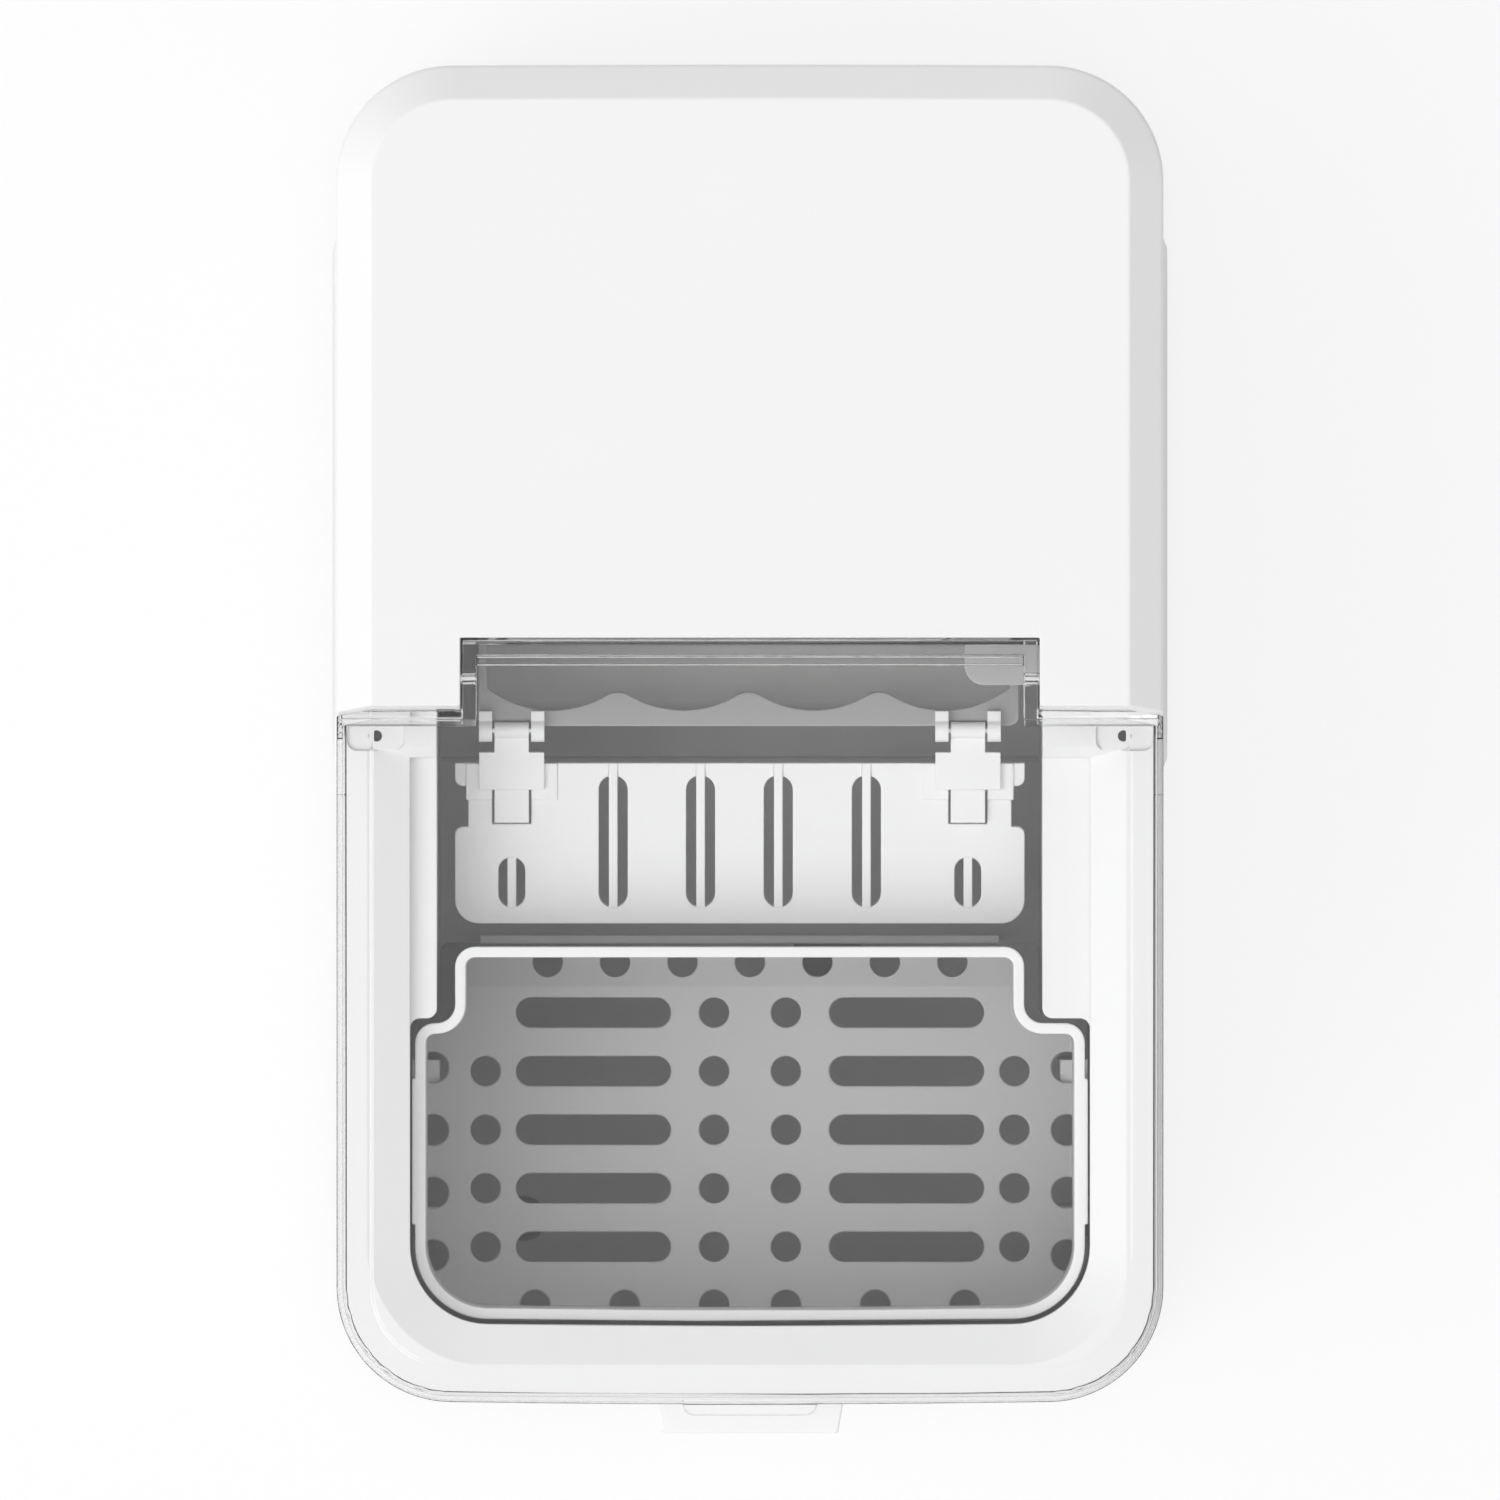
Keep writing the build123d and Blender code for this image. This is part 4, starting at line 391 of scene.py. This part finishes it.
def circuit_board(name, board, track):
    """Green lacquer over copper tracks: straight runs on a square grid."""
    upright = (pi / 2, 0.0, 0.0)
    grid_scale, track_width = 90.0, 0.05
    track_depth, track_strength = 0.06 * millimetre, 0.5
    roughness, spread = 0.3, 0.15
    finish = Finish(name)
    runs = finish.node(
        "ShaderNodeTexBrick",
        inputs={"Vector": finish.place(Rotation=upright), "Scale": grid_scale, "Mortar Size": track_width},
        output="Fac",
    )
    return finish.done(
        finish.surface(
            Base_Color=finish.blend(runs, board, track),
            Roughness=runs * spread + roughness,
            Coat_Weight=0.4,
            Normal=finish.bumped(runs, track_depth, track_strength),
        )
    )


white = grey(0.872)
thin_wall = 0.35 * millimetre
finishes = {
    "casing_white": moulded("casing_white", white, 0.32),
    "deck_white": moulded("deck_white", white, 0.3),
    # the lid's darker edge colour is painted shade: dark lines in place of the reflections along its edges
    "lid_clear": clear_plastic("lid_clear", (0.995, 0.997, 0.997), (0.3, 0.31, 0.31), grey(0.985)),
    "hinge_steel": metal("hinge_steel", (0.75, 0.75, 0.74), 0.18, 0.1),
    # dark blackened steel, its darkness also painted shade for the deep screw holes in the deck
    "screw_steel": metal("screw_steel", (0.09, 0.09, 0.095), 0.38, 0.2),
    "base_steel": metal("base_steel", (0.6, 0.62, 0.63), 0.42, 0.25, along="Y"),
    "foot_rubber": rubber("foot_rubber", grey(0.06)),
    # the tank fades to a darker grey towards its bottom: painted shade deep in the body
    "tank_grey": moulded("tank_grey", grey(0.74), 0.42, below=(grey(0.5), 0.15, 0.185)),
    "foam": foam("foam", (0.9, 0.9, 0.88)),
    # the tray gets a lighter colour along its edges as a painted highlight
    "tray_grey": moulded(
        "tray_grey", grey(0.36), 0.4, below=(grey(0.88), 0.248, 0.263), edge_highlight=grey(0.62)
    ),
    # the basket fades to a darker grey towards its floor: painted shade of the deep basket
    "basket_white": moulded("basket_white", grey(0.88), 0.35, below=(grey(0.5), 0.215, 0.284)),
    "shovel_white": moulded("shovel_white", grey(0.92), 0.35, edge=thin_wall),
    "spout_white": moulded("spout_white", grey(0.46), 0.4, edge=thin_wall),
    "drain_grey": moulded("drain_grey", (0.45, 0.46, 0.47), 0.45),
    "dark_plastic": moulded("dark_plastic", (0.045, 0.045, 0.047), 0.45),
    "lens_smoke": moulded("lens_smoke", (0.03, 0.03, 0.033), 0.08, grain_depth=0.0, marbling=0.0),
    "button_grey": moulded("button_grey", (0.7, 0.71, 0.72), 0.35),
    "board_green": circuit_board("board_green", (0.02, 0.13, 0.05), (0.05, 0.22, 0.08)),
    "motor_steel": metal("motor_steel", (0.6, 0.6, 0.58), 0.32, 0.2),
    "pump_grey": moulded("pump_grey", (0.1, 0.1, 0.11), 0.45),
    "compressor_black": painted("compressor_black", (0.012, 0.012, 0.013), 0.3),
    "fin_aluminium": metal("fin_aluminium", (0.82, 0.83, 0.84), 0.34, 0.1, along="Z"),
    "copper": metal("copper", (0.72, 0.36, 0.2), 0.32, 0.15, along="Z"),
    "valve_brass": metal("valve_brass", (0.72, 0.52, 0.24), 0.3, 0.1),
    "evaporator_plate": metal("evaporator_plate", (0.72, 0.72, 0.7), 0.24, 0.1, along="Z"),
    "hose_silicone": moulded("hose_silicone", (0.78, 0.78, 0.74), 0.4),
}
for name, slot in slots.items():
    nodes[name].data.materials.clear()
    nodes[name].data.materials.append(finishes[slot])


# ---------------------------------------------------------------- pieces with really rounded edges
flat_within = radians(0.6)
sharp_beyond = radians(28)
rounding_steps = 2
moulding_crease = radians(50)


def opened(name):
    """A CAD piece's mesh, open for editing, with its faces joined at their corners."""
    solid = bmesh.new()
    solid.from_mesh(nodes[name].data)
    bmesh.ops.remove_doubles(solid, verts=solid.verts, dist=welding_distance)
    return solid


def shaded(mesh, crease):
    """Smooth shading, except over edges that turn more than the crease angle."""
    mesh.shade_smooth()
    mesh.set_sharp_from_angle(angle=crease)


def rounded(name, radius, joined):
    """A copy of a CAD piece with its sharp edges rounded; its flat facets may be joined first."""
    solid = opened(name)
    if joined:
        bmesh.ops.dissolve_limit(solid, angle_limit=flat_within, verts=solid.verts, edges=solid.edges)
    sharp = [edge for edge in solid.edges if edge.is_manifold and edge.calc_face_angle() > sharp_beyond]
    bmesh.ops.bevel(
        solid,
        geom=sharp,
        offset=radius,
        offset_type="OFFSET",
        segments=rounding_steps,
        profile=0.5,
        affect="EDGES",
        clamp_overlap=False,
        loop_slide=True,
        miter_outer="SHARP",
    )
    bmesh.ops.remove_doubles(solid, verts=solid.verts, dist=welding_distance)
    bmesh.ops.triangulate(solid, faces=solid.faces)
    return solid


def softened(name, radius):
    """Stands in for a CAD piece, rounded in whichever way gives the smaller surface, since faces folded
    over add to it.
    """
    ways = [rounded(name, radius, joined) for joined in (True, False)]
    best = min(ways, key=lambda solid: sum(face.calc_area() for face in solid.faces))
    mesh = bpy.data.meshes.new(name + "_moulding")
    best.to_mesh(mesh)
    for solid in ways:
        solid.free()
    shaded(mesh, moulding_crease)
    mesh.materials.append(finishes[slots[name]])
    moulding = add(name + "_moulding", mesh)
    moulding.modifiers.new("even_shading", "WEIGHTED_NORMAL").keep_sharp = True
    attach(moulding, homes[name])
    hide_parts(name)


# in millimetres
edge_radii = {
    "lid": 0.35,
    "lid_pins": 0.2,
    "hinge_bracket_left": 0.12,
    "hinge_bracket_right": 0.12,
    "shovel": 0.25,
    "swing_tray": 0.4,
    "ice_basket": 0.4,
    "water_spout": 0.3,
    "water_tank": 0.4,
    "control_pod": 0.5,
    "front_housing": 0.4,
    "rear_housing": 0.4,
    "top_cover": 0.4,
    "base_pan": 0.3,
    "feet": 0.5,
    "drain_cap": 0.4,
    "drain_outlet": 0.3,
    "side_grille_left": 0.3,
    "side_grille_right": 0.3,
    "rear_grille": 0.3,
    "power_inlet": 0.25,
    "tray_motor": 0.4,
    "water_pump": 0.5,
    "terminal_cover": 0.5,
    "compressor": 0.5,
    "fan_frame": 0.3,
}
for name, radius in edge_radii.items():
    softened(name, radius * millimetre)


# ---------------------------------------------------------------- ribs and recesses laid out by rule
layout_crease = radians(40)


class Layout:
    """A Geometry Nodes tree with named sizes; its instances are made real and given a finish."""

    def __init__(self, name, sizes):
        self.tree = bpy.data.node_groups.new(name, "GeometryNodeTree")
        self.tree.interface.new_socket("Geometry", in_out="INPUT", socket_type="NodeSocketGeometry")
        self.sizes = sizes
        self.sockets = {
            label: self.tree.interface.new_socket(
                label,
                in_out="INPUT",
                socket_type="NodeSocketInt" if isinstance(size, int) else "NodeSocketFloat",
            ).identifier
            for label, size in sizes.items()
        }
        self.tree.interface.new_socket("Geometry", in_out="OUTPUT", socket_type="NodeSocketGeometry")
        self.given = self.tree.nodes.new("NodeGroupInput")

    def size(self, label):
        return self.given.outputs[label]

    def node(self, kind, inputs):
        """Adds a node, fills its sockets and returns its first output."""
        made = self.tree.nodes.new(kind)
        for name, value in inputs.items():
            if isinstance(value, list):
                for one in reversed(value):
                    self.tree.links.new(one, made.inputs[name])
            elif isinstance(value, bpy.types.NodeSocket):
                self.tree.links.new(value, made.inputs[name])
            else:
                made.inputs[name].default_value = value
        return made.outputs[0]

    def copies(self, points, instance):
        return self.node("GeometryNodeInstanceOnPoints", {"Points": points, "Instance": instance})

    def laid(self, name, instance, points, slot, body):
        """Sets the instance on each point, keeps the plain mesh and lets it ride on a body."""
        spread_out = self.copies(self.given.outputs["Geometry"], instance)
        real = self.node("GeometryNodeRealizeInstances", {"Geometry": spread_out})
        coated = self.node("GeometryNodeSetMaterial", {"Geometry": real, "Material": finishes[slot]})
        end = self.tree.nodes.new("NodeGroupOutput")
        self.tree.links.new(coated, end.inputs[0])
        seed = bpy.data.meshes.new(name + "_points")
        seed.from_pydata(points, [], [])
        carrier = add(name + "_points", seed)
        modifier = carrier.modifiers.new("layout", "NODES")
        modifier.node_group = self.tree
        for label, identifier in self.sockets.items():
            modifier[identifier] = self.sizes[label]
        evaluated = carrier.evaluated_get(bpy.context.evaluated_depsgraph_get())
        mesh = bpy.data.meshes.new_from_object(evaluated)
        bpy.data.objects.remove(carrier)
        shaded(mesh, layout_crease)
        piece = add(name, mesh)
        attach(piece, body)


def islands(name):
    """Centre and lowest level of each separate solid of a CAD piece."""
    solid = opened(name)
    left, found = set(solid.verts), []
    while left:
        group, front = set(), [left.pop()]
        while front:
            corner = front.pop()
            group.add(corner)
            for edge in corner.link_edges:
                other = edge.other_vert(corner)
                if other in left:
                    left.remove(other)
                    front.append(other)
        across, along, up = zip(*(corner.co for corner in group))
        found.append(((min(across) + max(across)) / 2, (min(along) + max(along)) / 2, min(up)))
    solid.free()
    return sorted(found)


# grip ribs round the drain cap
rib_level = 3.4 * millimetre
cap_low, cap_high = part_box("drain_cap")
cap_middle = (cap_low + cap_high) / 2
ribs = Layout(
    "cap_ribs",
    {
        "Count": 28,
        "Ring Radius": (cap_high.x - cap_low.x) / 2,
        "Rib Sides": 10,
        "Rib Radius": 0.55 * millimetre,
        "Rib Height": 4.6 * millimetre,
    },
)
ring = ribs.node(
    "GeometryNodeMeshCircle", {"Vertices": ribs.size("Count"), "Radius": ribs.size("Ring Radius")}
)
rib = ribs.node(
    "GeometryNodeMeshCylinder",
    {
        "Vertices": ribs.size("Rib Sides"),
        "Radius": ribs.size("Rib Radius"),
        "Depth": ribs.size("Rib Height"),
    },
)
ribs.laid(
    "drain_cap_ribs",
    ribs.copies(ring, rib),
    [(cap_middle.x, cap_middle.y, cap_low.z + rib_level)],
    slots["drain_cap"],
    homes["drain_cap"],
)

# cross slots in the heads of the screws under the base, drawn as thin dark blocks: painted shade standing
# in for the recesses
slot_level = 0.1 * millimetre
recess = Layout(
    "cross_slots",
    {"Slot Length": 3.4 * millimetre, "Slot Width": 0.8 * millimetre, "Slot Depth": 0.3 * millimetre},
)
bars = []
for across, along in (("Slot Length", "Slot Width"), ("Slot Width", "Slot Length")):
    extent = recess.node(
        "ShaderNodeCombineXYZ",
        {"X": recess.size(across), "Y": recess.size(along), "Z": recess.size("Slot Depth")},
    )
    bars.append(recess.node("GeometryNodeMeshCube", {"Size": extent}))
recess.laid(
    "base_screw_slots",
    recess.node("GeometryNodeJoinGeometry", {"Geometry": bars}),
    [(x, y, z + slot_level) for x, y, z in islands("base_screws")],
    "dark_plastic",
    homes["base_screws"],
)


# ---------------------------------------------------------------- floor and sky
full_white = (1.0, 1.0, 1.0, 1.0)
floor_half = 3.0
floor_level = -0.05 * millimetre
floor_colour = (0.9, 0.9, 0.9, 1.0)
floor_glow = 0.8
sky_level = 0.525
sky_lean = 1.55

# the camera sees the floor mostly as plain white, and the part is lit by its real colour
ground = Finish("pale_floor")
lit = ground.node("ShaderNodeBsdfDiffuse", inputs={"Color": floor_colour})
shown = ground.node("ShaderNodeEmission", inputs={"Color": full_white, "Strength": 1.0})
seen = ground.rays("Camera") * floor_glow
floor_mesh = bpy.data.meshes.new("floor")
floor_mesh.from_pydata(
    [(x * floor_half, y * floor_half, floor_level) for x, y in ((-1, -1), (1, -1), (1, 1), (-1, 1))],
    [],
    [(0, 1, 2, 3)],
)
floor_mesh.materials.append(
    ground.done(ground.node("ShaderNodeMixShader", inputs={0: seen, 1: lit, 2: shown}))
)
floor = add("floor", floor_mesh)

# the sky is brightest towards the key and falls off evenly; seen directly or through glass it is
# plain white
studio = Sky("studio")
lean = scaled(key_direction, sky_lean * (1 - key_share))
towards_key = studio.dot(studio.node("ShaderNodeTexCoord", output="Generated"), lean)
gradient = (towards_key + sky_level).at_least(0.0)
plain = studio.rays("Camera").at_least(studio.rays("Transmission"))
glow = plain + (1 - plain) * gradient
bpy.context.scene.world = studio.done(
    studio.node("ShaderNodeBackground", inputs={"Color": full_white, "Strength": glow})
)
